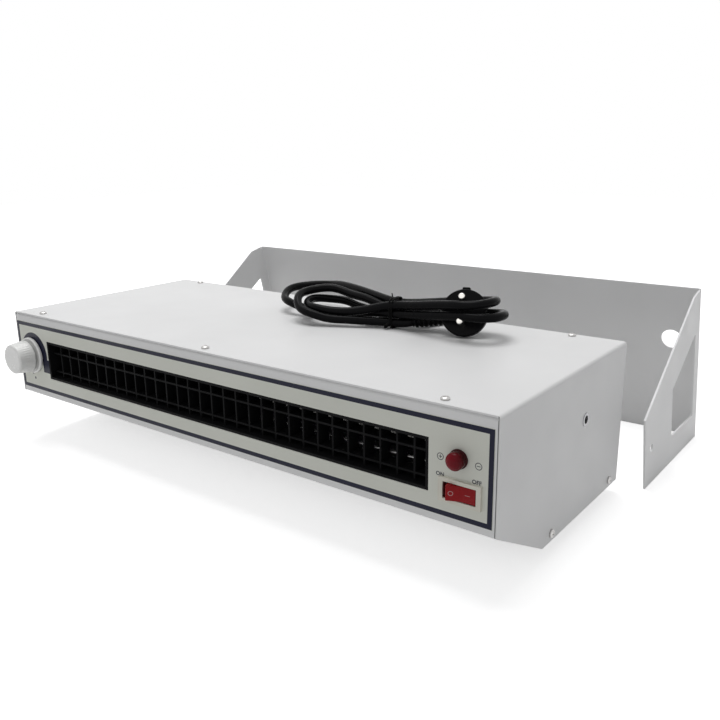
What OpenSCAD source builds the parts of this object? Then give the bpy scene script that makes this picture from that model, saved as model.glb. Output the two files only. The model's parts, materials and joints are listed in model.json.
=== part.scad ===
// Benchtop ionizing air blower with a swivel bracket and a mains lead.
// Millimetres. X runs along the body, the outlet faces -Y, +Z is up.
// The origin lies on the bench, under the middle of the object without its lead.
// Most pieces are drawn in body coordinates: x from the left end, y from the
// front face, z from the underside of the sheet-metal body.

/* [Body] */
// Length of the body from side to side
body_l = 500; // [400:5:640]
// Depth of the body from front to back
body_d = 202; // [196:1:260]
// Height of the body without its feet
body_h = 112; // [106:1:140]
// Height of the upright front face, above the sloping underside
panel_h = 76; // [70:1:92]
// How far back the sloping underside runs
slope_d = 66; // [40:1:80]
// Thickness of the body's sheet steel
sheet_t = 1.2; // [0.8:0.1:2]
// Outer radius of the folds
fold_r = 2.6; // [2.2:0.1:4]
// Width of the folded edges inside the body
flange_w = 15; // [13:1:18]
// Gap between the cover's sides and what stands between them
seam = 0.2; // [0.1:0.05:0.5]

/* [Outlet] */
// Distance from the left end to the outlet
outlet_left = 47.5; // [44:0.5:60]
// Distance from the outlet to the right end
outlet_right = 47; // [46:0.5:60]
// Height of the outlet
outlet_h = 35; // [28:1:42]
// Distance from the top of the body down to the outlet
outlet_down = 22.5; // [20:0.5:26]
// Wanted width of one grille cell, rounded to fill the outlet
cell_w = 13; // [9:0.5:20]
// Thickness of the grille ribs
rib_t = 1.4; // [1:0.1:2]
// Depth of the ribs from front to back
rib_d = 11; // [6:1:13]
// How far the ribs sit behind the front face
rib_back = 4.6; // [2:0.2:7]

/* [Label] */
// Thickness of the front overlay
label_t = 0.4; // [0.2:0.1:0.8]
// Distance from the top of the body down to the overlay
label_down = 8.2; // [6:0.2:10]
// Height of the overlay
label_h = 62.8; // [60:0.2:66]
// Margin between the overlay and the left end of the front panel
label_left = 0.4; // [0.2:0.2:4]
// Margin between the overlay and the right end of the front panel
label_right = 1.6; // [0.2:0.2:4]

/* [Fan] */
// Outer radius of the cross-flow impeller
fan_r = 32; // [28:1:34]
// Number of blades
blades = 26; // [18:1:36]
// Number of impeller sections between discs
sections = 4; // [2:1:6]
// Height of the impeller axis above the underside
fan_z = 57; // [54:1:60]
// Distance of the impeller axis behind the front face
fan_y = 106; // [100:1:112]
// Radius of the fan and motor shafts
shaft_r = 3; // [2.5:0.5:4]
// Running clearance of shafts and pivots
run_gap = 0.05; // [0.02:0.01:0.1]

/* [Ionizer] */
// Number of emitter needles
needles = 8; // [4:1:12]
// Length of a needle in front of its bar
needle_l = 9; // [6:0.5:10]

/* [Controls] */
// Distance of the speed knob's axis from the left end
knob_x = 22.5; // [21:0.5:26]
// Radius of the knob's grip
knob_r = 14; // [11:0.5:15]
// Radius of the knob's skirt
skirt_r = 17; // [15.5:0.5:17.5]
// How far the knob stands out of the front face
knob_out = 21; // [16:0.5:26]
// Radius of the lamp lens
lamp_r = 6.2; // [4:0.2:7]
// How far the lamp lens stands out of the front face
lamp_out = 9; // [4:0.5:10]
// Width of the rocker switch's bezel
bezel_w = 29; // [26:0.5:32]
// Height of the rocker switch's bezel
bezel_h = 15.5; // [14:0.5:17]
// Width of the rocker
rocker_w = 20; // [16:0.5:22]
// Height of the rocker
rocker_h = 10; // [8:0.5:11]
// Tilt of the rocker to each side
rocker_tilt = 12; // [8:1:14]

/* [Feet and screws] */
// Height of the rubber feet
foot_h = 10; // [6:1:16]
// Radius of the rubber feet
foot_r = 9; // [7:0.5:12]
// Radius of a pan screw's head
head_r = 3; // [2.4:0.1:3.6]
// Height of a pan screw's head
head_h = 2; // [1.2:0.1:2.4]
// Radius of a pan screw's shank
shank_r = 1.5; // [1:0.1:1.8]
// Bore radius of the threaded side inserts
insert_r = 3; // [2:0.25:4]

/* [Bracket] */
// Thickness of the bracket's sheet
bracket_t = 1.5; // [1:0.1:2.5]
// Gap between the bracket's ears and the body when it is fitted
ear_gap = 8.25; // [3:0.25:12]
// Height of the bracket's plate
plate_h = 148; // [125:1:180]
// Depth of the bracket's ears
ear_d = 141; // [125:1:170]
// Height of the ears' upright front edge
ear_front_h = 63; // [58:1:72]
// Forward lean of the bracket
lean = 12.8; // [5:0.1:16]
// Radius of the pivot holes in the ears
pivot_r = 3.3; // [2.5:0.1:4.5]
// Gap between the body's back and the ears
bracket_gap = 2.5; // [2:0.5:30]

/* [Hidden] */
$fn = 48;

// The bracket's places in the object's own frame
bracket_w = body_l + 2 * (ear_gap + bracket_t);
ear_low = ear_d * tan(lean);
ear_high = ear_low + ear_front_h;
ear_reach = ear_d * cos(lean) + ear_high * sin(lean);
bracket_y = body_d + bracket_gap + ear_reach;
bracket_left = -bracket_t;

// The body's front left corner in the object's own frame
body_x = -(max(bracket_left + bracket_w, body_l + head_h) + min(bracket_left, -head_h)) / 2;
body_y = -(bracket_y - knob_out) / 2;

// Levels and stations inside the body
slope_h = body_h - panel_h;
inner_l = sheet_t + seam;
inner_r = body_l - sheet_t - seam;
roof = body_h - sheet_t;
outlet_x0 = outlet_left;
outlet_x1 = body_l - outlet_right;
outlet_z1 = body_h - outlet_down;
outlet_z0 = outlet_z1 - outlet_h;
label_z1 = body_h - label_down;
label_z0 = label_z1 - label_h;
clear = 0.15;

// The grille: a tunnel through the panel, ribs inside it and a flange behind it
tunnel_t = 1.8;
grille_gap = 0.3;
grille_flange = 4;
cells = round((outlet_x1 - outlet_x0) / cell_w);
rail_levels = [0.19, 0.68];

// The fan unit
end_t = 1.5;
fan_x0 = outlet_x0 + 2.5;
fan_x1 = outlet_x1 - 2.5;
rotor_gap = 6;
scroll_t = 1;
scroll_gap = 2.5;
scroll_open = 6;
duct_y = 20;
tongue_angle = 207;
rotor_x0 = fan_x0 + rotor_gap;
rotor_x1 = fan_x1 - rotor_gap;
disc_t = 1.6;
blade_inner = 0.8;
hub_r = 8;
hub_l = 14;

// The motor, outside the right end plate
motor_x = fan_x1 + end_t;
motor_gap = 5;
bridge_t = 4;
stack_t = 16;
rotor_r = 13;

// The controls on the front panel
control_z = body_h - 38.5;
lamp_x = body_l - 26;
lamp_z = body_h - 31.5;
switch_x = body_l - 24.5;
switch_z = body_h - 52.8;
bushing_r = 4.7;

// Screw places: [x, y] on the top, [y, z] on the sides
top_screws = [for (x = [34, body_l / 2, body_l - 41]) for (y = [8, body_d - 6]) [x, y]];
side_screw_at = [[slope_d + 13, 6], [body_d - 18, 6]];
insert_at = [body_d - 74, body_h - 40];
foot_inset = 34;
foot_front = slope_d + foot_r + 30;
foot_back = body_d - 26;
foot_at = [for (x = [foot_inset, body_l - foot_inset]) for (y = [foot_front, foot_back]) [x, y]];

// The mains lead, in body coordinates with heights above the top of the cover.
// It leaves the back panel, comes over the rear edge and ends in a tied hank.
cord_r = 3.5;
gland_x = 300;
gland_z = body_h - 60;
relief_l = 26;
tie_x = 329.5;
tie_y = 144;
tie_w = 4;
run_pitch = 7.3;
CORD_ROUTE = [
    [300, 228, -60], [300.5, 238, -60], [303, 248, -59], [309, 256, -56],
    [318, 261, -51], [328, 263, -44], [338, 261, -35], [346, 255, -24],
    [352, 245, -12], [356, 232, -1], [358, 218, 6], [359, 205, 8.5],
    [359, 193, 7.5], [358.5, 182, 5.4], [356, 171, 4.2], [350.5, 161, 3.8],
    [342, 152, 4.2], [336, 148.2, 4.7]];
PLUG_ROUTE = [[334, 140.4, 4.8], [338.5, 140.7, 5], [343, 141.6, 5.8], [347, 142.9, 6.9]];
plug_at = [391, 147, 19.2];
plug_turn = 20;
plug_lean = 22;
plug_r = 18.5;
pin_r = 2.4;
pin_pitch = 19;

// ---------- helpers ----------

// Moves a piece from body coordinates into the object's own frame
module in_body() translate([body_x, body_y, foot_h]) children();

// Draws a (y, z) outline and runs it along X from x0 to x1
module along_x(x0, x1) translate([x0, 0, 0]) rotate([90, 0, 90])
    linear_extrude(x1 - x0) children();

// Draws an (x, z) outline and runs it back along Y from y0 to y1
module along_y(y0, y1) translate([0, y1, 0]) rotate([90, 0, 0])
    linear_extrude(y1 - y0) children();

module rod_x(r, x0, x1) translate([x0, 0, 0]) rotate([0, 90, 0]) cylinder(r = r, h = x1 - x0);
module rod_y(r, y0, y1) translate([0, y0, 0]) rotate([-90, 0, 0]) cylinder(r = r, h = y1 - y0);

function unit(v) = v / norm(v);
function turn_left(v) = [-v[1], v[0]];

// Points of an arc of radius r that rounds the corner at b between a and c
function corner(a, b, c, r, n = 5) = let (
    u = unit(a - b), v = unit(c - b),
    half = acos(u * v) / 2,
    reach = r / tan(half),
    centre = b + unit(u + v) * r / sin(half),
    p0 = b + u * reach - centre,
    side = sign(u[0] * v[1] - u[1] * v[0]),
    sweep = 180 - 2 * half)
    [for (i = [0 : n]) let (w = -side * sweep * i / n)
        centre + [p0[0] * cos(w) - p0[1] * sin(w), p0[0] * sin(w) + p0[1] * cos(w)]];

// An open path with its inner corners rounded
function rounded(path, r) = let (last = len(path) - 1) [
    path[0],
    for (i = [1 : last - 1]) each corner(path[i - 1], path[i], path[i + 1], r),
    path[last]];

// The same path moved to its left by d, with mitred corners
function shifted(path, d) = let (last = len(path) - 1) [
    for (i = [0 : last]) let (
        before = turn_left(unit(path[max(i, 1)] - path[max(i, 1) - 1])),
        after = turn_left(unit(path[min(i, last - 1) + 1] - path[min(i, last - 1)])),
        m = unit(before + after))
        path[i] + m * d / (m * before)];

// A folded strip of sheet: the path is its outer side, the sheet lies to the left
module folded(path, t, r) polygon(concat(
    rounded(path, r), reversed(rounded(shifted(path, t), r - t))));
function reversed(v) = [for (i = [len(v) - 1 : -1 : 0]) v[i]];

// A round-ended slot standing upright in the (x, z) plane
module slot(w, h) {
    square([w, h - w], center = true);
    for (s = [-1, 1]) translate([0, s * (h - w) / 2]) circle(d = w);
}

// A pan-head screw along -Z with its head's seat at the origin
module pan_screw(shank_l) {
    rotate_extrude() polygon([
        [0, head_h], [head_r * 0.55, head_h], [head_r * 0.88, head_h * 0.72],
        [head_r, head_h * 0.3], [head_r, 0], [shank_r, 0],
        [shank_r, -shank_l + 1], [shank_r * 0.4, -shank_l], [0, -shank_l]]);
}

// A tube swept along a route: one ring at each point, closed at both ends
function direction(path, i) = unit(path[min(i + 1, len(path) - 1)] - path[max(i - 1, 0)]);
module tube(path, r, sides = 10) {
    points = [for (i = [0 : len(path) - 1]) let (
        d = direction(path, i),
        a = unit(cross(d, abs(d[2]) < 0.9 ? [0, 0, 1] : [1, 0, 0])),
        b = cross(d, a))
        for (k = [0 : sides - 1]) path[i] + r * (a * cos(k * 360 / sides) + b * sin(k * 360 / sides))];
    faces = concat(
        [[for (k = [0 : sides - 1]) k]],
        [for (i = [0 : len(path) - 2]) for (k = [0 : sides - 1]) let (
            m = (k + 1) % sides, p = i * sides, q = p + sides)
            [p + k, q + k, q + m, p + m]],
        [[for (k = [sides - 1 : -1 : 0]) (len(path) - 1) * sides + k]]);
    polyhedron(points, faces);
}

// ---------- sheet-metal body ----------

module body_outline() polygon([
    [0, slope_h], [slope_d, 0], [body_d, 0], [body_d, body_h], [0, body_h]]);

module top_cover() color("whitesmoke") in_body() difference() {
    intersection() {
        along_y(0, body_d) folded([[body_l, 0], [body_l, body_h], [0, body_h], [0, 0]], sheet_t, fold_r);
        along_x(-1, body_l + 1) body_outline();
    }
    for (p = top_screws) translate([p[0], p[1], roof - 1]) cylinder(r = shank_r + clear, h = sheet_t + 2);
    for (p = side_screw_at) translate([0, p[0], p[1]]) rod_x(shank_r + clear, -1, body_l + 1);
    translate([0, insert_at[0], insert_at[1]]) rod_x(insert_r + 1.5, -1, body_l + 1);
}

// What fits inside the cover: its inner outline less the seam
module inside_cover(y0, y1) along_y(y0, y1) polygon(rounded(
    [[inner_r, -1], [inner_r, roof], [inner_l, roof], [inner_l, -1]], fold_r - sheet_t));

module chassis() color("gainsboro") in_body() difference() {
    union() {
        intersection() {
            along_x(inner_l, inner_r) folded([[flange_w, roof], [0, roof], [0, slope_h],
                [slope_d, 0], [body_d, 0]], sheet_t, fold_r);
            inside_cover(-1, body_d + 1);
        }
        for (x = [inner_l, inner_r - sheet_t])
            translate([x, slope_d + 4, sheet_t / 2]) cube([sheet_t, body_d - slope_d - 8, flange_w]);
    }
    along_y(-1, sheet_t + 1) translate([outlet_x0, outlet_z0]) square([outlet_x1 - outlet_x0, outlet_h]);
    translate([knob_x, 0, control_z]) rod_y(bushing_r + clear, -1, sheet_t + 1);
    translate([lamp_x, 0, lamp_z]) rod_y(bushing_r + clear, -1, sheet_t + 1);
    along_y(-1, sheet_t + 1) translate([switch_x, switch_z])
        square([bezel_w - 3, bezel_h - 3], center = true);
    for (p = top_screws) translate([p[0], p[1], roof - sheet_t - 1])
        cylinder(r = shank_r + clear, h = sheet_t + 2);
    for (p = side_screw_at) translate([0, p[0], p[1]]) rod_x(shank_r + clear, -1, body_l + 1);
    for (p = foot_at) translate([p[0], p[1], -1]) cylinder(r = shank_r + clear, h = sheet_t + 2);
}

// Air comes in through two rows of upright slots in the back
slot_w = 4;
slot_h = 26;
slot_pitch = 10;
module rear_panel() color("gainsboro") in_body() difference() {
    intersection() {
        along_x(inner_l, inner_r) folded([
            [body_d - flange_w, sheet_t], [body_d, sheet_t], [body_d, roof],
            [body_d - flange_w, roof]], sheet_t, fold_r);
        inside_cover(-1, body_d + 1);
    }
    // Room for the chassis's uprights beside the lower flange
    for (x = [inner_l - 1, inner_r - sheet_t - clear])
        translate([x, body_d - flange_w - 1, 0])
            cube([sheet_t + clear + 1, flange_w - 2, flange_w + sheet_t]);
    for (row = [0, 1]) along_y(body_d - sheet_t - 1, body_d + 1)
        for (x = [60 : slot_pitch : body_l - 60])
            if (abs(x - gland_x) > 22) translate([x, 36 + row * (slot_h + 8)]) slot(slot_w, slot_h);
    translate([gland_x, 0, gland_z]) rod_y(bushing_r + 1.5 + clear, body_d - sheet_t - 1, body_d + 1);
    for (p = top_screws) translate([p[0], p[1], roof - sheet_t - 1])
        cylinder(r = shank_r + clear, h = sheet_t + 2);
}

module front_label() color("honeydew") in_body() along_y(-label_t, 0) difference() {
    translate([inner_l + label_left, label_z0])
        square([inner_r - inner_l - label_left - label_right, label_h]);
    translate([outlet_x0, outlet_z0]) square([outlet_x1 - outlet_x0, outlet_h]);
    translate([knob_x, control_z]) circle(r = bushing_r + clear);
    translate([lamp_x, lamp_z]) circle(r = bushing_r + clear);
    translate([switch_x, switch_z]) square([bezel_w - 3, bezel_h - 3], center = true);
}

// ---------- outlet grille ----------

module outlet_grille() color("#151515") in_body() {
    x0 = outlet_x0 + grille_gap;
    w = outlet_x1 - outlet_x0 - 2 * grille_gap;
    z0 = outlet_z0 + grille_gap;
    h = outlet_h - 2 * grille_gap;
    pitch = w / cells;
    levels = [0, for (k = rail_levels) k * h, h];
    // The tunnel that lines the opening
    along_y(-label_t, rib_back) translate([x0, z0]) difference() {
        square([w, h]);
        translate([tunnel_t, tunnel_t]) square([w - 2 * tunnel_t, h - 2 * tunnel_t]);
    }
    // The ribs
    along_y(rib_back, rib_back + rib_d) translate([x0, z0]) difference() {
        square([w, h]);
        for (i = [0 : cells - 1]) for (k = [0 : len(levels) - 2]) let (
            left = i == 0 ? tunnel_t : rib_t / 2,
            right = i == cells - 1 ? tunnel_t : rib_t / 2,
            low = k == 0 ? tunnel_t : rib_t / 2,
            high = k == len(levels) - 2 ? tunnel_t : rib_t / 2)
            translate([i * pitch + left, levels[k] + low])
                square([pitch - left - right, levels[k + 1] - levels[k] - low - high]);
    }
    // The flange behind the panel
    along_y(sheet_t, sheet_t + 2) difference() {
        translate([x0 - grille_flange, z0 - grille_flange])
            square([w + 2 * grille_flange, h + 2 * grille_flange]);
        translate([x0 + tunnel_t, z0 + tunnel_t]) square([w - 2 * tunnel_t, h - 2 * tunnel_t]);
    }
}

// ---------- fan ----------

function polar(r, a) = [fan_y + r * cos(a), fan_z + r * sin(a)];
tongue_tip = polar(fan_r + scroll_gap, tongue_angle);
duct_z1 = outlet_z1 + 1;
duct_z0 = outlet_z0 - 1;

// The scroll opens steadily from the back of the impeller over its top
function scroll_radius(a) = fan_r + scroll_gap + (scroll_open - scroll_gap) * (a - 10) / 80;
module fan_scroll() color("silver") in_body() along_x(fan_x0, fan_x1) {
    inner = concat([for (a = [10 : 10 : 90]) polar(scroll_radius(a), a)], [[duct_y, duct_z1]]);
    outer = concat([for (a = [10 : 10 : 90]) polar(scroll_radius(a) + scroll_t, a)],
        [[duct_y, duct_z1 + scroll_t]]);
    polygon(concat(inner, reversed(outer)));
}

// The tongue parts the outlet from the inlet under the impeller
module fan_tongue() color("silver") in_body() along_x(fan_x0, fan_x1) {
    tip = tongue_tip;
    polygon([[duct_y, duct_z0], tip, tip + [2.5, -9], tip + [1.4, -9],
        tip + [-1.2, -scroll_t], [duct_y, duct_z0 - scroll_t]]);
}

plate_y1 = fan_y + fan_r + 10;
module fan_end_plates() color("lightgray") in_body()
    for (x = [fan_x0 - end_t, fan_x1]) difference() {
        along_x(x, x + end_t) polygon([
            [duct_y, duct_z0 - 3], [slope_d + 8, sheet_t], [plate_y1, sheet_t],
            [plate_y1, roof - sheet_t - 2], [duct_y, roof - sheet_t - 2]]);
        translate([x, fan_y, fan_z]) rod_x(x < body_l / 2 ? 9 : hub_r + 1, -1, end_t + 1);
    }

// One blade: an arc across the rim, leaning into the turn
module blade() polygon([
    for (k = [0 : 3]) let (r = fan_r * blade_inner + (fan_r * (1 - blade_inner) - 0.4) * k / 3)
        [r * cos(-3 + 3.1 * k * k / 3), r * sin(-3 + 3.1 * k * k / 3)],
    for (k = [3 : -1 : 0]) let (r = fan_r * blade_inner + (fan_r * (1 - blade_inner) - 0.4) * k / 3)
        [r * cos(-0.8 + 3.1 * k * k / 3), r * sin(-0.8 + 3.1 * k * k / 3)]]);

module impeller() color("dimgray") in_body() {
    span = rotor_x1 - rotor_x0;
    difference() {
        union() {
            for (i = [0 : sections]) let (x = rotor_x0 + (span - disc_t) * i / sections)
                translate([x, fan_y, fan_z]) difference() {
                    rod_x(fan_r, 0, disc_t);
                    if (i > 0 && i < sections) rod_x(fan_r * blade_inner - 3, -1, disc_t + 1);
                }
            along_x(rotor_x0, rotor_x1) translate([fan_y, fan_z])
                for (i = [0 : blades - 1]) rotate(i * 360 / blades) blade();
            translate([0, fan_y, fan_z]) rod_x(hub_r, rotor_x0, rotor_x0 + hub_l);
            translate([0, fan_y, fan_z]) rod_x(hub_r, rotor_x1 - hub_l, rotor_x1);
        }
        translate([0, fan_y, fan_z]) rod_x(shaft_r, rotor_x0 - 1, rotor_x0 + hub_l - 1);
        translate([0, fan_y, fan_z]) rod_x(shaft_r, rotor_x1 - hub_l + 1, rotor_x1 + 1);
    }
}

bearing_x = fan_x0 - end_t - 8;
module stub_shaft() color("silver") in_body() translate([0, fan_y, fan_z])
    rod_x(shaft_r, bearing_x, rotor_x0 + hub_l - 1);

module bearing_bush() color("goldenrod") in_body() translate([0, fan_y, fan_z]) difference() {
    rod_x(shaft_r + 2.5, bearing_x, fan_x0 + 1);
    rod_x(shaft_r + run_gap, bearing_x - 1, fan_x0 + 2);
}

module bearing_housing() color("#2b2b2b") in_body() translate([0, fan_y, fan_z]) difference() {
    union() {
        rod_x(9, fan_x0 - end_t, fan_x0);
        rod_x(12, bearing_x + 1, fan_x0 - end_t);
    }
    rod_x(shaft_r + 2.5, bearing_x - 1, fan_x0 + 2);
}

// ---------- shaded-pole motor ----------

bridge_x0 = motor_x + motor_gap;
stack_x0 = bridge_x0 + bridge_t + 4;
bridge_x1 = stack_x0 + stack_t + 4;
motor_screw_at = [[-21, -21], [21, -21], [-21, 21], [21, 21]];
module motor_rotor() color("silver") in_body() translate([0, fan_y, fan_z]) {
    rod_x(shaft_r, rotor_x1 - hub_l + 1, bridge_x1 + bridge_t);
    rod_x(rotor_r, stack_x0, stack_x0 + stack_t);
}

module motor_stack() color("slategray") in_body() difference() {
    along_x(stack_x0, stack_x0 + stack_t) translate([fan_y, fan_z]) difference() {
        translate([-27, -27]) square([76, 54]);
        translate([27, -16]) square([10, 32]);
        circle(r = rotor_r + 0.5);
    }
    for (p = motor_screw_at) translate([0, fan_y + p[0], fan_z + p[1]])
        rod_x(shank_r + clear, stack_x0 - 1, stack_x0 + stack_t + 1);
}

module motor_coil() color("sienna") in_body()
    translate([stack_x0 - 4, fan_y + 37, fan_z - 15.5]) difference() {
        translate([0, -9.5, 0]) cube([stack_t + 8, 21.5, 31]);
        translate([4, 0, -1]) cube([stack_t, 12.1, 33]);
    }

module motor_bridges() color("silver") in_body() for (x = [bridge_x0, bridge_x1]) difference() {
    union() {
        along_x(x, x + bridge_t) translate([fan_y, fan_z]) difference() {
            square([50, 50], center = true);
            for (s = [-1, 1]) translate([0, s * 17]) square([30, 9], center = true);
        }
        for (p = motor_screw_at) translate([0, fan_y + p[0], fan_z + p[1]])
            rod_x(3.2, x < stack_x0 ? motor_x : stack_x0 + stack_t, x < stack_x0 ? stack_x0 : x);
    }
    translate([0, fan_y, fan_z]) rod_x(shaft_r + run_gap, x - 1, x + bridge_t + 1);
    for (p = motor_screw_at) translate([0, fan_y + p[0], fan_z + p[1]])
        rod_x(shank_r + clear, motor_x - 1, max(x + bridge_t, stack_x0) + 1);
}

module motor_screws() color("darkgray") in_body() for (p = motor_screw_at)
    translate([bridge_x1 + bridge_t, fan_y + p[0], fan_z + p[1]]) rotate([0, 90, 0])
        pan_screw(bridge_x1 + bridge_t - motor_x - 1);

// ---------- ionizer and heater, in the outlet duct ----------

duct_mid = (outlet_z0 + outlet_z1) / 2;
bar_y = 33;
module emitter_bar() color("ivory") in_body() difference() {
    along_x(fan_x0, fan_x1) translate([bar_y, duct_mid - 4]) square([7, 8]);
    for (i = [0 : needles - 1]) translate([needle_x(i), 0, duct_mid]) rod_y(0.8, bar_y - 1, bar_y + 5);
}
function needle_x(i) = fan_x0 + (i + 0.5) * (fan_x1 - fan_x0) / needles;

module emitter_needles() color("silver") in_body() for (i = [0 : needles - 1])
    translate([needle_x(i), bar_y - needle_l, duct_mid]) rotate([-90, 0, 0]) {
        cylinder(r1 = 0.1, r2 = 0.8, h = 4);
        translate([0, 0, 4]) cylinder(r = 0.8, h = needle_l + 1);
    }

module ground_rods() color("silver") in_body() for (s = [-1, 1])
    translate([0, duct_y + 3, duct_mid + s * 10]) rod_x(1.2, fan_x0, fan_x1);

heater_y = 46;
heater_at = [for (dy = [5, 13]) for (dz = [-9, 0, 9]) [heater_y + dy, duct_mid + dz]];
heater_posts = 4;
module heater_boards() color("khaki") in_body() for (i = [0 : heater_posts - 1]) {
    x = fan_x0 + (fan_x1 - fan_x0 - end_t) * i / (heater_posts - 1);
    difference() {
        along_x(x, x + end_t) translate([heater_y, duct_mid - 15]) square([18, 30]);
        for (p = heater_at) translate([0, p[0], p[1]]) rod_x(2.6, x - 1, x + end_t + 1);
    }
}

module heater_coils() color("dimgray") in_body() for (p = heater_at)
    translate([0, p[0], p[1]]) rod_x(2.6, fan_x0 + 0.5, fan_x1 - 0.5);

// ---------- electrics inside ----------

module_y = foot_front + 5;
module_l = foot_back - foot_front - 10;
module high_voltage_module() color("#222222") in_body()
    translate([inner_l + sheet_t + 2, module_y, sheet_t]) difference() {
        cube([32, module_l, 34]);
        translate([3, 3, 32]) cube([26, module_l - 6, 3]);
    }

board_x = body_l - 210;
board_y = body_d - flange_w - 30;
board_at = [board_x, board_y, sheet_t + 8];
board_size = [110, 28, 1.6];
board_holes = [for (x = [5, board_size[0] - 5]) for (y = [5, board_size[1] - 5]) [x, y]];
module circuit_board() color("seagreen") in_body() translate(board_at) difference() {
    cube(board_size);
    for (p = board_holes) translate([p[0], p[1], -1]) cylinder(r = shank_r + clear, h = 4);
}

module board_parts() color("#3a3a44") in_body() translate(board_at + [0, 0, board_size[2]]) {
    translate([14, 4, 0]) cube([18, 16, 14]);
    translate([42, 14, 0]) cylinder(r = 6, h = 12);
    translate([56, 6, 0]) cube([20, 12, 10]);
    translate([84, 6, 0]) cube([12, 16, 8]);
}

module board_standoffs() color("white") in_body() for (p = board_holes)
    translate([board_at[0] + p[0], board_at[1] + p[1], sheet_t]) {
        cylinder(r = 3, h = 8);
        translate([0, 0, 8]) cylinder(r = shank_r, h = 3);
    }

module terminal_block() color("whitesmoke") in_body()
    translate([board_x - 52, board_y + 2, sheet_t]) difference() {
        cube([40, 16, 14]);
        for (i = [0 : 3]) translate([5 + i * 10, 8, 6]) cylinder(r = 2.2, h = 9);
    }

// ---------- controls ----------

module speed_control() color("#30343a") in_body() translate([knob_x, 0, control_z]) difference() {
    union() {
        rod_y(12, sheet_t + 1, 17);
        rod_y(bushing_r, -5, sheet_t + 1);
        rod_y(6, sheet_t, sheet_t + 1);
        translate([-7, 4, -24]) cube([14, 6, 14]);
    }
    rod_y(shaft_r + run_gap, -6, 15);
}

module control_nut() color("silver") in_body() translate([knob_x, -label_t - 2.4, control_z])
    difference() {
        rotate([-90, 0, 0]) cylinder(r = 7.4, h = 2.4, $fn = 6);
        rod_y(bushing_r, -1, 4);
    }

module control_shaft() color("silver") in_body() translate([knob_x, 0, control_z])
    rod_y(shaft_r, -knob_out + 5, 14.8);

// A skirted knob with a grooved waist and a chamfered face
skirt_y = -label_t - 0.6;
module speed_knob() color("white") in_body() translate([knob_x, 0, control_z]) rotate([90, 0, 0])
    rotate_extrude() polygon([
        [9, -skirt_y], [skirt_r, -skirt_y], [skirt_r, 3.2], [knob_r + 1.2, 4.2],
        [knob_r - 0.8, 5], [knob_r - 0.8, 6.6], [knob_r, 7.4], [knob_r - 0.3, knob_out - 2],
        [knob_r - 2.2, knob_out], [0, knob_out], [0, knob_out - 5], [shaft_r, knob_out - 5],
        [shaft_r, 6], [9, 6]]);

module lamp_body() color("#26221f") in_body() translate([lamp_x, 0, lamp_z]) {
    rod_y(bushing_r, -label_t, 16);
    rod_y(3, 16, 24);
}

module lamp_nut() color("silver") in_body() translate([lamp_x, sheet_t, lamp_z]) difference() {
    rotate([-90, 0, 0]) cylinder(r = 7.2, h = 2.4, $fn = 6);
    rod_y(bushing_r, -1, 4);
}

module lamp_lens() color("crimson") in_body() translate([lamp_x, 0, lamp_z]) rotate([90, 0, 0])
    rotate_extrude() polygon([
        [0, label_t], [lamp_r, label_t], [lamp_r, lamp_out - 2.4],
        for (a = [10 : 16 : 90]) [lamp_r * cos(a), lamp_out - 2.4 + 2.4 * sin(a)]]);

// The rocker turns on two pins that stand in the housing's top and bottom walls
pivot_y = 4.5;
switch_d = 20;
pin_r_rocker = 1.5;
rocker_half = rocker_w / 2 - 0.6;
wing_y = 8.6;
well_w = 2 * (rocker_half * cos(rocker_tilt) + wing_y * sin(rocker_tilt) + 0.4);
well_h = rocker_h + 0.8;
module rocker_housing() color("ivory") in_body() translate([switch_x, 0, switch_z]) difference() {
    union() {
        along_y(-label_t - 2, -label_t) square([bezel_w, bezel_h], center = true);
        along_y(-label_t, switch_d) square([bezel_w - 3.4, bezel_h - 3.4], center = true);
    }
    along_y(-label_t - 3, 13) square([well_w, well_h], center = true);
    translate([0, pivot_y, -bezel_h / 2]) cylinder(r = pin_r_rocker + run_gap, h = bezel_h);
}

module switch_terminals() color("silver") in_body() translate([switch_x, switch_d, switch_z])
    for (x = [-8, 0, 8]) translate([x - 0.4, 0, -2.4]) cube([0.8, 8, 4.8]);

// Seen from above: two flat wings that meet in a shallow valley over the pivot
module rocker() color("firebrick") in_body() translate([switch_x, pivot_y, switch_z]) {
    half = rocker_half;
    rotate([0, 0, rocker_tilt]) union() {
        translate([0, 0, -rocker_h / 2]) linear_extrude(rocker_h) polygon([
            [-half, -wing_y], [0, 1.6 - wing_y], [half, -wing_y], [half - 0.6, -2], [4, 4], [-4, 4],
            [-half + 0.6, -2]]);
        translate([0, 0, -rocker_h / 2 - 0.9]) cylinder(r = pin_r_rocker, h = rocker_h + 1.8);
    }
}

// ---------- feet and fasteners ----------

module feet() color("#202020") in_body() for (p = foot_at) translate([p[0], p[1], -foot_h])
    difference() {
        cylinder(r1 = foot_r - 1.5, r2 = foot_r, h = foot_h);
        translate([0, 0, -1]) cylinder(r = head_r + 1, h = 5);
        cylinder(r = shank_r + clear, h = foot_h + 1);
    }

module foot_screws() color("silver") in_body() for (p = foot_at)
    translate([p[0], p[1], 4 - foot_h]) rotate([180, 0, 0]) pan_screw(foot_h + 1);

module foot_nuts() color("silver") in_body() for (p = foot_at)
    translate([p[0], p[1], sheet_t]) difference() {
        cylinder(r = 3.2, h = 2.4, $fn = 6);
        translate([0, 0, -1]) cylinder(r = shank_r, h = 5);
    }

module cover_screws() color("silver") in_body() for (p = top_screws)
    translate([p[0], p[1], body_h]) pan_screw(7);

module side_screws() color("silver") in_body() for (p = side_screw_at) {
    translate([0, p[0], p[1]]) rotate([0, -90, 0]) pan_screw(7);
    translate([body_l, p[0], p[1]]) rotate([0, 90, 0]) pan_screw(7);
}

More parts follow.
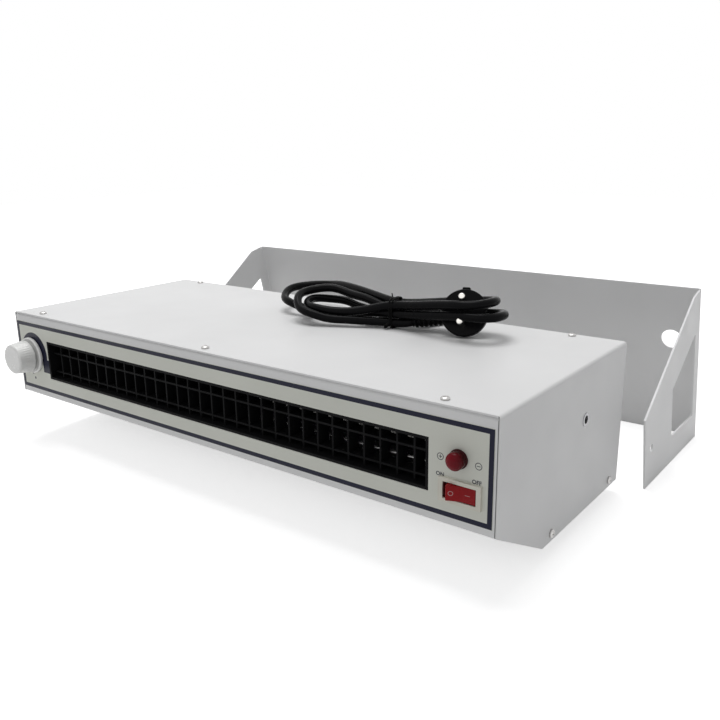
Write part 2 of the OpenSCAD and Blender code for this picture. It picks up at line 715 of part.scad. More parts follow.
// Threaded rivet nuts that take the bracket's pivot screws
insert_l = 8.5;
module side_inserts() color("silver") in_body() translate([0, insert_at[0], insert_at[1]])
    for (side = [0, 1]) translate([side * body_l, 0, 0]) mirror([side, 0, 0]) difference() {
        union() {
            rod_x(insert_r + 1.9, -0.5, 0);
            rod_x(insert_r + 1.5, 0, insert_l);
            rod_x(insert_r + 2.4, sheet_t, sheet_t + 3);
        }
        rod_x(insert_r, -1, insert_l + 1);
    }

// ---------- mains lead ----------

gland_r = bushing_r + 1.5;
module strain_relief() color("#1c1c1c") in_body() translate([gland_x, 0, gland_z]) difference() {
    union() {
        rod_y(gland_r, body_d - sheet_t - 8, body_d);
        rod_y(gland_r + 2.5, body_d, body_d + 3);
        translate([0, body_d + 3, 0]) rotate([-90, 0, 0])
            cylinder(r1 = gland_r, r2 = cord_r + 1.2, h = relief_l - 3);
    }
    for (i = [0 : 3]) translate([0, body_d + 7 + i * 5, 0]) difference() {
        rod_y(gland_r + 3, 0, 2);
        rod_y(cord_r + 1, -1, 3);
    }
    rod_y(cord_r, body_d - 30, body_d + relief_l + 1);
}

module cord_nut() color("#1c1c1c") in_body() translate([gland_x, body_d - sheet_t - 5, gland_z])
    difference() {
        rotate([-90, 0, 0]) cylinder(r = gland_r + 3, h = 5, $fn = 6);
        rod_y(gland_r, -1, 6);
    }

// Moves a piece onto the top of the cover, in body coordinates
module on_top() in_body() translate([0, 0, body_h]) children();

module mains_cord() color("#161616") on_top()
    tube(concat([[gland_x, body_d - 20, -60], [gland_x, body_d + 10, -60]], CORD_ROUTE), cord_r);

module plug_lead() color("#161616") on_top() tube(PLUG_ROUTE, cord_r);

// A tapering lobe of the hank: small at the origin, round at x = reach
module lobe(reach, r0, r1) {
    s = (r1 - r0) / reach;
    c = sqrt(1 - s * s);
    circle(r = r0);
    translate([reach, 0]) circle(r = r1);
    polygon([[-s * r0, c * r0], [reach - s * r1, c * r1],
        [reach - s * r1, -c * r1], [-s * r0, -c * r0]]);
}

neck_r = run_pitch;
module hank_lobe(reach, r, runs, rise, low) translate([0, 0, low]) rotate([0, -rise, 0])
    linear_extrude(runs * run_pitch) difference() {
        lobe(reach, neck_r, r);
        translate([run_pitch * 2.4, 0]) lobe(reach - run_pitch * 2.4, 0.5, r - run_pitch);
    }

module cord_hank() color("#161616") on_top() translate([tie_x, tie_y, 0]) difference() {
    union() {
        rotate(178) hank_lobe(91, 27, 3, 4, 1.2);
        rotate(5) hank_lobe(73, 20, 2, 7, 1.2 + run_pitch);
        translate([-8, -neck_r, 1.2]) cube([16, 2 * neck_r, 3 * run_pitch]);
    }
    difference() {
        translate([-tie_w / 2, -40, -5]) cube([tie_w, 80, 60]);
        translate([-tie_w, -neck_r, 1.2]) cube([2 * tie_w, 2 * neck_r, 3 * run_pitch]);
    }
}

module cord_tie() color("#101010") on_top() translate([tie_x, tie_y, 0]) {
    difference() {
        translate([-tie_w / 2, -neck_r - 1.2, 0]) cube([tie_w, 2 * neck_r + 2.4, 3 * run_pitch + 2.4]);
        translate([-tie_w, -neck_r, 1.2]) cube([2 * tie_w, 2 * neck_r, 3 * run_pitch]);
    }
    translate([-3, -neck_r - 5, 3]) cube([6, 4, 5]);
}

// Angled two-pin plug: a round face, a hump behind it and a sleeve to one side
module at_plug() on_top() translate(plug_at) rotate([0, 0, plug_turn]) rotate([90 - plug_lean, 0, 0])
    children();
module cone_between(a, b, ra, rb) {
    v = b - a;
    translate(a) rotate([0, acos(v[2] / norm(v)), atan2(v[1], v[0])])
        cylinder(r1 = ra, r2 = rb, h = norm(v));
}
module plug_body() color("#161616") at_plug() difference() {
    union() {
        rotate_extrude() polygon([
            [0, 0], [plug_r - 0.8, 0], [plug_r, -0.8], [plug_r, -5], [plug_r - 6, -15], [0, -15]]);
        cone_between([0, 0, -8], [-42.8, -7.2, -15.1], 7.5, cord_r + 1.2);
        translate([-3, plug_r - 2, -6]) cube([6, 3.6, 5]);
    }
    for (s = [-1, 1]) {
        translate([0, s * pin_pitch / 2, -6]) cylinder(r = pin_r, h = 7);
        translate([s * (plug_r + 1), 0, -5.5]) cylinder(r = 3, h = 7);
    }
    cone_between([-38.9, -6.6, -14.5], [-46.8, -7.8, -15.7], cord_r, cord_r);
}

module plug_pins() color("silver") at_plug() for (s = [-1, 1]) translate([0, s * pin_pitch / 2, -6]) {
    cylinder(r = pin_r, h = 24);
    translate([0, 0, 24]) cylinder(r1 = pin_r, r2 = pin_r - 1, h = 1);
}

// ---------- bracket ----------

// The ear in the bracket's own plane: first value forward, second up the plate
flat_top = 20;
window_side = 14;
window_front = 66;
module ear_outline() polygon([[0, -5], [ear_d, -5], [ear_d, ear_high], [flat_top, plate_h], [0, plate_h]]);
top_slope = (ear_high - plate_h) / (ear_d - flat_top);
function ear_bottom(u) = u * tan(lean);
function ear_top(u) = plate_h + (u - flat_top) * top_slope;
module ear_window() {
    u0 = window_side;
    u1 = ear_d - window_front;
    r = 2;
    path = [[u0, ear_bottom(u0) + 26], [u1, ear_bottom(u1) + 26],
        [u1, ear_top(u1) - 36], [u0, min(ear_top(u0), plate_h) - 36]];
    polygon([for (i = [0 : 3]) each corner(path[(i + 3) % 4], path[i], path[(i + 1) % 4], r, 3)]);
}

// Places the upright bracket so that it leans forward and stands on its ears
module lean_bracket() translate([body_x + bracket_left, body_y + bracket_y, 0])
    rotate([lean, 0, 0]) children();

pivot_at = [ear_d - 15, ear_low + 30];
cable_hole_r = 9;
wall_hole_r = 1.75;
fold_cut = [1.6, 3.2];
wall_holes = [[24, 75], [24, 49]];
module mounting_bracket() color("silver") lean_bracket() difference() {
    translate([0, 0, -1]) linear_extrude(plate_h + 1) mirror([0, 1]) folded([
        [0, ear_d], [0, 0], [bracket_w, 0], [bracket_w, ear_d]], bracket_t, fold_r);
    for (x = [-1, bracket_w - bracket_t - 1]) translate([x, 0, 0]) {
        difference() {
            translate([0, -ear_d - 1, -2]) cube([bracket_t + 2, ear_d + 1 - fold_r, plate_h + 4]);
            mirror([0, 1, 0]) along_x(-1, bracket_t + 3) ear_outline();
        }
        mirror([0, 1, 0]) along_x(0, bracket_t + 2) ear_window();
        translate([0, -fold_r - fold_cut[0], plate_h - fold_cut[1]])
            cube([bracket_t + 2, fold_cut[0], fold_cut[1] + 1]);
    }
    translate([0, -pivot_at[0], pivot_at[1]]) rod_x(pivot_r, -1, bracket_w + 1);
    translate([bracket_w - 24, 0, 97]) rod_y(cable_hole_r, -bracket_t - 1, 1);
    for (p = wall_holes) for (x = [p[0], bracket_w - p[0]])
        translate([x, 0, p[1]]) rod_y(wall_hole_r, -bracket_t - 1, 1);
    rotate([-lean, 0, 0]) translate([-1, -2 * ear_d, -ear_d]) cube([bracket_w + 2, 3 * ear_d, ear_d]);
}

top_cover();
chassis();
rear_panel();
front_label();
outlet_grille();
fan_end_plates();
fan_scroll();
fan_tongue();
impeller();
stub_shaft();
bearing_housing();
bearing_bush();
motor_rotor();
motor_stack();
motor_coil();
motor_bridges();
motor_screws();
emitter_bar();
emitter_needles();
ground_rods();
heater_boards();
heater_coils();
high_voltage_module();
circuit_board();
board_parts();
board_standoffs();
terminal_block();
speed_control();
control_shaft();
control_nut();
speed_knob();
lamp_body();
lamp_nut();
lamp_lens();
rocker_housing();
switch_terminals();
rocker();
feet();
foot_screws();
foot_nuts();
cover_screws();
side_screws();
side_inserts();
strain_relief();
cord_nut();
mains_cord();
cord_hank();
cord_tie();
plug_lead();
plug_body();
plug_pins();
mounting_bracket();
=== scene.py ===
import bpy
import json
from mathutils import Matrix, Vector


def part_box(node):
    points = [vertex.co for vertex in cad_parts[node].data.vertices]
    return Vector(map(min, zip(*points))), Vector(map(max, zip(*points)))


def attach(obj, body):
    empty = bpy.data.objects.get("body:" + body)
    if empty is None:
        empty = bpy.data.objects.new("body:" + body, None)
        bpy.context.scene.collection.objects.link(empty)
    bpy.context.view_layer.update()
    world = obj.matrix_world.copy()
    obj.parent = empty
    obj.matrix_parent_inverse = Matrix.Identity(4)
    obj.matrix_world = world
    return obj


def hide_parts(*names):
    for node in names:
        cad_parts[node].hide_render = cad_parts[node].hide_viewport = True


bl_info = {
    "name": "Ionizing Blower",
    "version": (1, 0, 0),
    "blender": (4, 5, 0),
    "location": "View3D > Sidebar > Blower",
    "description": "Surfaces, finishes and stage for a bench ionizing air blower",
    "category": "Object",
}

import functools
import json
import math

import bpy
import numpy as np
from mathutils import Matrix

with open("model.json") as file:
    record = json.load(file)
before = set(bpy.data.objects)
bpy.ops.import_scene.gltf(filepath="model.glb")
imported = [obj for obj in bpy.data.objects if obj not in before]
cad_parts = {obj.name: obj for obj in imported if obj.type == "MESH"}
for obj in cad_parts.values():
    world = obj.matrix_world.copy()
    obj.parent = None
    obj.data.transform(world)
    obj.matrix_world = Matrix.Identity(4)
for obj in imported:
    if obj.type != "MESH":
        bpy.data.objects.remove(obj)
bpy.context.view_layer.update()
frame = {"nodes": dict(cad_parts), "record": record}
MM = 0.001

# The case's front left edge at the level of its roof, where every size below starts
COVER_LOW, COVER_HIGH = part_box("top_cover")
CASE = np.array([COVER_LOW[0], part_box("chassis")[0][1], COVER_HIGH[2]])
CASE_LENGTH = (COVER_HIGH[0] - COVER_LOW[0]) / MM
FRONT = float(CASE[1])

# Stations on the front panel: (x from the left end, height from the roof), in millimetres
KNOB_AT = (22.5, -38.5)
LAMP_AT = (CASE_LENGTH - 26.0, -31.5)
SWITCH_AT = (CASE_LENGTH - 24.5, -52.8)
PLUS_AT, MINUS_AT = (461.3, -32.9), (487.1, -33.1)
WORDS = (("ON", (461.3, -44.2)), ("OFF", (486.2, -43.5)))
WORD_FACE = -0.45

# The gland on the rear panel, placed the same way
GLAND_AT = (300.0, -60.0)


# ---------- sizes and colours that a user would change ----------

def colour_property(name, description, default):
    return bpy.props.FloatVectorProperty(
        name=name, description=description, default=default, subtype="COLOR", size=3,
        min=0.0, max=1.0)


def number_property(name, description, default, low, high, unit="LENGTH"):
    return bpy.props.FloatProperty(
        name=name, description=description, default=default, min=low, max=high, unit=unit)


class BlowerColours(bpy.types.PropertyGroup):
    paint: colour_property("Case paint", "Colour of the painted case", (0.80, 0.80, 0.80))
    bracket: colour_property("Bracket paint", "Colour of the painted bracket", (0.80, 0.80, 0.80))
    label: colour_property("Label field", "Colour of the label's ground", (0.70, 0.71, 0.645))
    print_ink: colour_property("Printing", "Colour of the label's lines", (0.004, 0.005, 0.022))
    cord: colour_property("Mains lead", "Colour of the lead and plug", (0.004, 0.004, 0.0045))
    rocker: colour_property("Rocker", "Colour of the rocker", (0.27, 0.003, 0.006))
    lamp: colour_property("Lamp", "Colour of the lamp's lens", (0.22, 0.001, 0.010))


class BlowerSizes(bpy.types.PropertyGroup):
    lead_diameter: number_property(
        "Lead diameter", "Outer diameter of the mains lead", 0.007, 0.005, 0.009)
    knob_radius: number_property(
        "Knob radius", "Radius of the speed knob's grip", 0.014, 0.011, 0.015)
    letter_height: number_property(
        "Letter height", "Height of the words beside the switch", 0.0026, 0.002, 0.006)


class BlowerStage(bpy.types.PropertyGroup):
    key_power: number_property(
        "Key light", "Power of the large lamp behind the case", 25.5, 0.0, 200.0, "POWER")
    fill_power: number_property(
        "Fill light", "Power of the lamp in front of the case", 2.4, 0.0, 100.0, "POWER")
    room_light: number_property(
        "Room light", "Strength of the even light from all sides", 0.34, 0.0, 2.0, "NONE")


# ---------- surfaces ----------

def on_case(points):
    """Case millimetres (x from the left end, y from the front, height over the roof) to metres."""
    return CASE + np.asarray(points, float) * MM


def show(name, form, body, slot, stands_for, crease=40.0):
    """A piece from a form, in its slot's finish, with edges sharper than crease kept sharp.
    A form is its vertices in metres, its quads and its triangles."""
    vertices, quads, triangles = form
    mesh = bpy.data.meshes.new(name)
    mesh.from_pydata(vertices.tolist(), [], quads.tolist() + triangles.tolist())
    mesh.validate()
    mesh.polygons.foreach_set("use_smooth", np.ones(len(mesh.polygons), bool))
    mesh.set_sharp_from_angle(angle=math.radians(crease))
    mesh.materials.append(FINISHES[slot])
    return placed(name, mesh, body, stands_for)


def placed(name, mesh, body, stands_for=()):
    """An object for a finished mesh, riding on its body."""
    piece = bpy.data.objects.new(name, mesh)
    bpy.context.scene.collection.objects.link(piece)
    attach(piece, body)
    if stands_for:
        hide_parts(*stands_for)
    return piece


def closed_rings(rings):
    """A stack of rings (rows, columns, 3) as a closed skin. Quad (i, j) has the corners (i, j),
    (i, j + 1), (i + 1, j + 1) and (i + 1, j), and triangles run to a pole at each end."""
    rows, columns = rings.shape[:2]
    vertices = np.vstack([rings.reshape(-1, 3), rings[0].mean(0), rings[-1].mean(0)])
    i, j = np.meshgrid(np.arange(rows - 1) * columns, np.arange(columns), indexing="ij")
    k = (j + 1) % columns
    quads = np.stack([i + j, i + k, i + columns + k, i + columns + j], -1).reshape(-1, 4)
    j, k = j[0], k[0]
    last, pole = (rows - 1) * columns, np.full(columns, rows * columns)
    triangles = np.vstack([np.stack([pole, k, j], -1),
                           np.stack([pole + 1, last + j, last + k], -1)])
    return vertices, quads, triangles


def joined(*forms):
    """Several forms as one, each one's corners counted on from the forms before it."""
    starts = np.cumsum([0, *(len(form[0]) for form in forms[:-1])])
    return (np.vstack([form[0] for form in forms]),
            *(np.vstack([form[k] + start for form, start in zip(forms, starts)])
              for k in (1, 2)))


AXES = {
    "front": np.array([[1, 0, 0], [0, 0, 1], [0, -1, 0]], float),
    "back": np.array([[-1, 0, 0], [0, 0, 1], [0, 1, 0]], float),
    "up": np.array([[1, 0, 0], [0, 1, 0], [0, 0, 1]], float),
    "left": np.array([[0, -1, 0], [0, 0, 1], [-1, 0, 0]], float),
    "right": np.array([[0, 1, 0], [0, 0, 1], [1, 0, 0]], float),
}


def turned(profile, centre, axis="up", sides=64, flute=None):
    """A turned form: P(s, t) = centre + r(s) (cos t a + sin t b) + h(s) c, closed at both ends.
    flute(r, h, t) returns changed r and h."""
    a, b, c = AXES[axis] if isinstance(axis, str) else axis
    profile = np.asarray(profile, float)
    t = np.linspace(0, 2 * math.pi, sides, endpoint=False)
    r = np.repeat(profile[:, :1], sides, 1)
    h = np.repeat(profile[:, 1:2], sides, 1)
    if flute is not None:
        r, h = flute(r, h, t[None, :])
    points = (r[..., None] * (np.cos(t)[None, :, None] * a + np.sin(t)[None, :, None] * b)
              + h[..., None] * c)
    return closed_rings(on_case(points + np.asarray(centre, float)))


def arc(centre, radius, start, end, count=8):
    """Points of an arc in a profile, angles in degrees."""
    t = np.radians(np.linspace(start, end, count))
    return np.stack([centre[0] + radius * np.cos(t), centre[1] + radius * np.sin(t)], -1)


def smooth_path(points, spacing):
    """A Catmull-Rom curve through the points, cubic between neighbours with tangents half the
    chord of the two beside them, then resampled evenly by its length."""
    p = np.asarray(points, float)
    p = np.vstack([2 * p[0] - p[1], p, 2 * p[-1] - p[-2]])
    u = np.linspace(0, 1, 24, endpoint=False)[None, :, None]
    a, b, c, d = (p[k:len(p) - 3 + k, None, :] for k in range(4))
    curve = 0.5 * (2 * b + (c - a) * u + (2 * a - 5 * b + 4 * c - d) * u ** 2
                   + (3 * b - a - 3 * c + d) * u ** 3)
    curve = np.vstack([curve.reshape(-1, 3), p[-2]])
    reach = np.concatenate([[0], np.cumsum(np.linalg.norm(np.diff(curve, axis=0), axis=1))])
    stations = np.linspace(0, reach[-1], max(8, int(round(reach[-1] / spacing))))
    return np.stack([np.interp(stations, reach, curve[:, k]) for k in range(3)], -1)


def eased(path, reach, spacing):
    """The path with each point moved to the mean of its neighbours, weighted by the bell
    exp(-d^2 / 2 reach^2) of their distance d along it, and its two ends kept."""
    count = int(3 * reach / spacing)
    bell = np.exp(-0.5 * (np.arange(-count, count + 1) * spacing / reach) ** 2)
    steps = np.arange(count, 0, -1)
    padded = np.vstack([2 * path[0] - path[steps], path, 2 * path[-1] - path[-1 - steps[::-1]]])
    return np.stack([np.convolve(padded[:, k], bell / bell.sum(), "valid") for k in range(3)], -1)


def swept(path, radius, sides=16, up=(0.0, 0.0, 1.0)):
    """A round tube: P(s, t) = path(s) + r(s) (cos t n(s) + sin t m(s)), where n is level."""
    tangent = np.gradient(path, axis=0)
    tangent /= np.linalg.norm(tangent, axis=1, keepdims=True)
    n = np.cross(tangent, np.asarray(up, float))
    n /= np.linalg.norm(n, axis=1, keepdims=True)
    m = np.cross(n, tangent)
    t = np.linspace(0, 2 * math.pi, sides, endpoint=False)[None, :, None]
    r = np.broadcast_to(np.asarray(radius, float), len(path))[:, None, None]
    rings = path[:, None, :] + r * (np.cos(t) * n[:, None, :] - np.sin(t) * m[:, None, :])
    return closed_rings(rings)


# ---------- finishes ----------

class Field:
    """A shader socket that adds Math nodes when Python does sums with it."""

    def __init__(self, finish, socket):
        self.finish, self.socket = finish, socket

    def math(self, operation, *values):
        return self.finish.add("ShaderNodeMath", {"operation": operation},
                               dict(enumerate(values))).out(0)

    def __add__(self, other): return self.math("ADD", self, other)
    def __radd__(self, other): return self.math("ADD", other, self)
    def __sub__(self, other): return self.math("SUBTRACT", self, other)
    def __rsub__(self, other): return self.math("SUBTRACT", other, self)
    def __mul__(self, other): return self.math("MULTIPLY", self, other)
    def __rmul__(self, other): return self.math("MULTIPLY", other, self)
    def __truediv__(self, other): return self.math("DIVIDE", self, other)
    def __rtruediv__(self, other): return self.math("DIVIDE", other, self)
    def __abs__(self): return self.math("ABSOLUTE", self)

    def most(self, other): return self.math("MAXIMUM", self, other)
    def root(self): return self.math("SQRT", self)
    def fraction(self): return self.math("FRACT", self)

    def below(self, edge, soft):
        """1 where the field is under edge, 0 above it, over a soft step."""
        return self.finish.add("ShaderNodeMapRange", {"interpolation_type": "SMOOTHSTEP"}, {
            "Value": self, "From Min": edge - soft / 2, "From Max": edge + soft / 2,
            "To Min": 1.0, "To Max": 0.0}).out("Result")

    def span(self, low, high, to_low=0.0, to_high=1.0):
        """The field moved from low..high to to_low..to_high, held at the ends."""
        return self.finish.add("ShaderNodeMapRange", {}, {
            "Value": self, "From Min": low, "From Max": high,
            "To Min": to_low, "To Max": to_high}).out("Result")


class Node:
    """A shader node whose outputs are read as fields."""

    def __init__(self, finish, node):
        self.finish, self.node = finish, node

    def out(self, key):
        return Field(self.finish, self.node.outputs[key])


class Finish:
    """One material, built with add() and finished by paint()."""

    def __init__(self, name):
        self.material = bpy.data.materials.new(name)
        self.material.use_nodes = True
        self.tree = self.material.node_tree
        self.shader = self.tree.nodes["Principled BSDF"]

    def add(self, kind, settings, sockets):
        """A node of a kind, its settings made first and then its sockets fed."""
        node = self.tree.nodes.new(kind)
        for key, value in settings.items():
            setattr(node, key, value)
        for key, value in sockets.items():
            self.feed(node.inputs[key], value)
        return Node(self, node)

    def feed(self, socket, value):
        """Link a field to a socket, or set the socket to a plain value."""
        if isinstance(value, Field):
            self.tree.links.new(value.socket, socket)
        elif isinstance(value, (tuple, list)) and len(value) == 3 and socket.type == "RGBA":
            socket.default_value = (*value, 1.0)
        else:
            socket.default_value = value

    def place(self):
        """Object coordinates, in metres from the model's own origin."""
        return self.add("ShaderNodeTexCoord", {}, {}).out("Object")

    def axes(self):
        """The three object coordinates as separate fields."""
        split = self.add("ShaderNodeSeparateXYZ", {}, {"Vector": self.place()})
        return split.out("X"), split.out("Y"), split.out("Z")

    def stretched(self, scale):
        """Object coordinates times a scale for each axis."""
        return self.add("ShaderNodeMapping", {}, {"Vector": self.place(), "Scale": scale}).out(0)

    def noise(self, scale, detail=2.0, rough=0.5, where=None):
        return self.add("ShaderNodeTexNoise", {}, {
            "Vector": where or self.place(), "Scale": scale, "Detail": detail,
            "Roughness": rough}).out("Fac")

    def cells(self, scale, feature="F1"):
        return self.add("ShaderNodeTexVoronoi", {"feature": feature}, {
            "Vector": self.place(), "Scale": scale})

    def mix(self, amount, a, b):
        """Colour a where amount is 0 and b where it is 1."""
        return self.add("ShaderNodeMix", {"data_type": "RGBA"}, {
            0: amount, 6: a, 7: b}).out(2)

    def bump(self, height, strength, depth):
        return self.add("ShaderNodeBump", {}, {
            "Height": height, "Strength": strength, "Distance": depth}).out("Normal")

    def clouded(self, colour, low, high, scale, detail=2.0):
        """A colour times low to high, in soft patches."""
        return self.mix(self.noise(scale, detail).span(0.3, 0.7), shade(colour, low),
                        shade(colour, high))

    def scuffed(self, rough, less, more, scale, detail=3.0):
        """A roughness that strays by less under rough and by more over it."""
        return rough + self.noise(scale, detail).span(0.3, 0.7, -less, more)

    def grained(self, scale, strength, depth):
        """A fine grain, raised and sunken by a depth in metres."""
        return self.bump(self.noise(scale), strength, depth)

    def paint(self, **sockets):
        """Feed the shader's own sockets, named in lower case with underscores."""
        for key, value in sockets.items():
            name = key.replace("_", " ").title().replace("Ior", "IOR")
            self.feed(self.shader.inputs[name], value)
        return self.material


def shade(colour, factor):
    """A colour made darker or lighter, held at 1."""
    return tuple(min(1.0, c * factor) for c in colour)


def painted_sheet(name, colour):
    """Sprayed enamel on sheet steel: faint clouding, orange peel and a few dull specks, and
    a thin painted shadow along the seam where the front panel meets each side."""
    f = Finish(name)
    x, y, _ = f.axes()
    middle = float(CASE[0]) + CASE_LENGTH / 2 * MM
    half = (CASE_LENGTH / 2 - 1.25) * MM
    # Painted shadow: a thin dark line on the front face at each side seam, in place of the shade
    # in the gap between the sheets.
    seam_shade = (abs(abs(x - middle) - half).below(0.00035, 0.0001)
             * (y - FRONT).below(0.0003, 0.0001))
    speck = f.noise(420.0, 3.0).below(0.30, 0.05)
    tone = f.clouded(colour, 0.965, 1.02, 9.0, 3.0)
    return f.paint(
        base_color=f.mix(seam_shade * 0.8, f.mix(speck * 0.10, tone, shade(colour, 0.7)),
                         shade(colour, 0.12)),
        roughness=f.scuffed(0.42, 0.05, 0.06, 45.0, 4.0), specular_ior_level=0.22,
        normal=f.grained(1100.0, 0.10, 0.00004))


def moulded(name, colour, rough=0.45, speckle=0.06, grain=2200.0, depth=0.00003, level=0.5):
    """Moulded plastic or rubber: an even skin with a fine grain and slight scuffing."""
    f = Finish(name)
    scuff = f.noise(160.0, 5.0, 0.65)
    return f.paint(
        base_color=f.clouded(colour, 1 - speckle, 1 + speckle, 22.0),
        roughness=rough + scuff.span(0.35, 0.7, -0.05, 0.09), specular_ior_level=level,
        normal=f.grained(grain, 0.2, depth))


def metal(name, colour, rough=0.3, brush=(40.0, 900.0, 900.0), strength=0.12):
    """Bare metal with drawing or rolling lines along one axis."""
    f = Finish(name)
    lines = f.noise(1.0, 4.0, 0.6, f.stretched(brush))
    return f.paint(
        base_color=f.mix(lines.span(0.3, 0.7), shade(colour, 0.86), shade(colour, 1.05)),
        metallic=1.0,
        roughness=rough + lines.span(0.3, 0.7, -0.06, 0.08),
        normal=f.bump(lines, strength, 0.00003))


def spangled(name, colour):
    """Galvanised sheet: patches of crystals a few millimetres wide."""
    f = Finish(name)
    patch = f.cells(170.0)
    tone = f.add("ShaderNodeSeparateColor", {}, {"Color": patch.out("Color")}).out("Red")
    return f.paint(
        base_color=f.mix(tone, shade(colour, 0.82), shade(colour, 1.08)),
        metallic=1.0, roughness=0.38 + tone.span(0, 1, -0.08, 0.1),
        normal=f.bump(patch.out("Distance"), 0.05, 0.00005))


def striped(name, light, dark, axis, pitch, metallic=0.0, rough=0.45, depth=0.0001):
    """Stacked plates or close winding: ridges of one pitch along an axis."""
    f = Finish(name)
    wave = abs((f.axes()[axis] / pitch).fraction() - 0.5) * 2.0
    return f.paint(
        base_color=f.mix(wave.below(0.3, 0.3), light, dark), metallic=metallic,
        roughness=f.scuffed(rough, 0.06, 0.06, 300.0, 2.0), normal=f.bump(wave, 0.5, depth))


def circuit_green(name):
    """Solder mask over copper: tracks show as paler lines with small pads."""
    f = Finish(name)
    tracks = f.cells(260.0, "DISTANCE_TO_EDGE").out("Distance")
    pads = f.cells(330.0).out("Distance")
    ground = f.mix(tracks.below(0.12, 0.03), (0.010, 0.085, 0.030), (0.020, 0.17, 0.055))
    pad = pads.below(0.16, 0.04)
    return f.paint(base_color=f.mix(pad, ground, (0.62, 0.60, 0.55)),
                   metallic=pad * 0.9, roughness=0.32 + f.noise(500.0) * 0.12,
                   normal=f.bump(tracks.below(0.12, 0.05), 0.3, 0.00004))


def box_distance(x, z, centre, half):
    """Signed distance to a rectangle's edge, under 0 inside it, corners left square."""
    return (abs(x - centre[0]) - half[0]).most(abs(z - centre[1]) - half[1])


def disc_distance(x, z, centre):
    """Distance to a point on the panel."""
    dx, dz = x - centre[0], z - centre[1]
    return (dx * dx + dz * dz).root()


def print_place(x, down):
    """A station on the front panel in metres."""
    return (CASE[0] + x * MM, CASE[2] + down * MM)


def printed(distance, edge=0.0):
    """1 where a distance in metres is under an edge, with the soft border of screen print."""
    return distance.below(edge, 0.00012)


def printed_label(name, ground, ink):
    """The printed film: a line round its edge, a crescent about the knob with a foot, a plus and
    a minus in rings and two ticks, each made from distances to rectangles and circles."""
    f = Finish(name)
    x, _, z = f.axes()
    low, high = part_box("front_label")
    rim = box_distance(x, z, ((low[0] + high[0]) / 2, (low[2] + high[2]) / 2),
                       ((high[0] - low[0]) / 2, (high[2] - low[2]) / 2))
    outer = printed(disc_distance(x, z, print_place(25.7, -37.0)), 0.0199)
    inner = printed(disc_distance(x, z, print_place(20.8, -40.6)), 0.0178)
    above = printed(z - print_place(0, -40.8)[1])
    marks = [printed(rim, -0.0001) * (1.0 - printed(rim, -0.0034)),
             outer * (1.0 - inner) * (1.0 - above),
             printed(box_distance(x, z, print_place(43.4, -46.6), (0.0056, 0.0062)))]
    level, upright = (0.0012, 0.00022), (0.00022, 0.0012)
    for station, bars in ((PLUS_AT, (level, upright)), (MINUS_AT, (level,))):
        place = print_place(*station)
        marks.append(printed(abs(disc_distance(x, z, place) - 0.0021), 0.00022))
        marks += [printed(box_distance(x, z, place, bar)) for bar in bars]
    for station, size in (((19.6, -56.4), 0.0009), ((22.2, -60.6), 0.0012)):
        marks.append(printed(disc_distance(x, z, print_place(*station)), size))
    return f.paint(
        base_color=f.mix(functools.reduce(Field.most, marks),
                         f.clouded(ground, 0.97, 1.02, 14.0), ink),
        roughness=f.scuffed(0.38, 0.05, 0.07, 60.0, 4.0), specular_ior_level=0.18,
        normal=f.grained(900.0, 0.05, 0.00003))


def rocker_plastic(name, colour):
    """Red gloss plastic with a printed ring on one half and a dash on the other."""
    f = Finish(name)
    x, _, z = f.axes()
    ring = abs(disc_distance(x, z, print_place(SWITCH_AT[0] - 4.4, SWITCH_AT[1])) - 0.0013)
    dash = box_distance(x, z, print_place(SWITCH_AT[0] + 5.6, SWITCH_AT[1]), (0.0017, 0.00014))
    mark = ring.below(0.00018, 0.0001).most(dash.below(0.0, 0.0001)) * 0.45
    return f.paint(
        base_color=f.mix(mark, f.clouded(colour, 0.9, 1.08, 150.0, 3.0), (0.75, 0.72, 0.70)),
        roughness=f.scuffed(0.30, 0.04, 0.06, 400.0), specular_ior_level=0.10,
        coat_weight=0.05, normal=f.grained(1800.0, 0.08, 0.00002))


def switch_bezel(name, colour):
    """Ivory plastic with painted shade inside the opening: a dark red in place of the shadow there
    and the rocker's red thrown onto its walls.
    """
    f = Finish(name)
    x, y, z = f.axes()
    inside = box_distance(x, z, print_place(*SWITCH_AT), (0.0119, 0.0068)).below(0.0, 0.0001)
    # Painted shade: the opening's walls behind the front are coloured dark red, in place of shadow
    # and the rocker's reflected red.
    deep = inside * (1.0 - (y - FRONT).below(-0.0013, 0.0002))
    tone = f.clouded(colour, 0.97, 1.03, 120.0, 3.0)
    return f.paint(base_color=f.mix(deep, tone, (0.14, 0.003, 0.004)),
                   roughness=f.scuffed(0.40, 0.05, 0.06, 300.0),
                   normal=f.grained(1500.0, 0.08, 0.00002))


def knob_plastic(name, colour):
    """Glossy white plastic with painted shade in the waist between the grip and the skirt."""
    f = Finish(name)
    out = FRONT - f.axes()[1]
    # Painted shade: the waist is darkened in place of the shadow between the grip and the skirt.
    waist = abs(out - 0.0048).below(0.0009, 0.0009)
    tone = f.clouded(colour, 0.97, 1.02, 90.0, 3.0)
    return f.paint(base_color=f.mix(waist, tone, shade(colour, 0.45)),
                   roughness=f.scuffed(0.24, 0.04, 0.06, 300.0),
                   normal=f.grained(1500.0, 0.06, 0.00002))


def lamp_lens(name, colour):
    """A tinted lens with painted shade: near black by its seat, lighter towards its dome and
    darker on its right side.
    """
    f = Finish(name)
    x, y, _ = f.axes()
    # Painted shade and light: the colour darkens towards the seat and the right side and lightens
    # out on the dome, with random tone added.
    out = (FRONT - y).span(0.0035, 0.0085)
    side = (x - print_place(*LAMP_AT)[0]).span(-0.006, 0.006, 1.0, 0.35)
    clear = out * side + f.noise(500.0, 3.0).span(0.3, 0.7, -0.06, 0.06)
    return f.paint(base_color=f.mix(clear, shade(colour, 0.16), colour),
                   roughness=f.scuffed(0.20, 0.04, 0.05, 700.0), specular_ior_level=0.10,
                   normal=f.grained(900.0, 0.06, 0.00003))


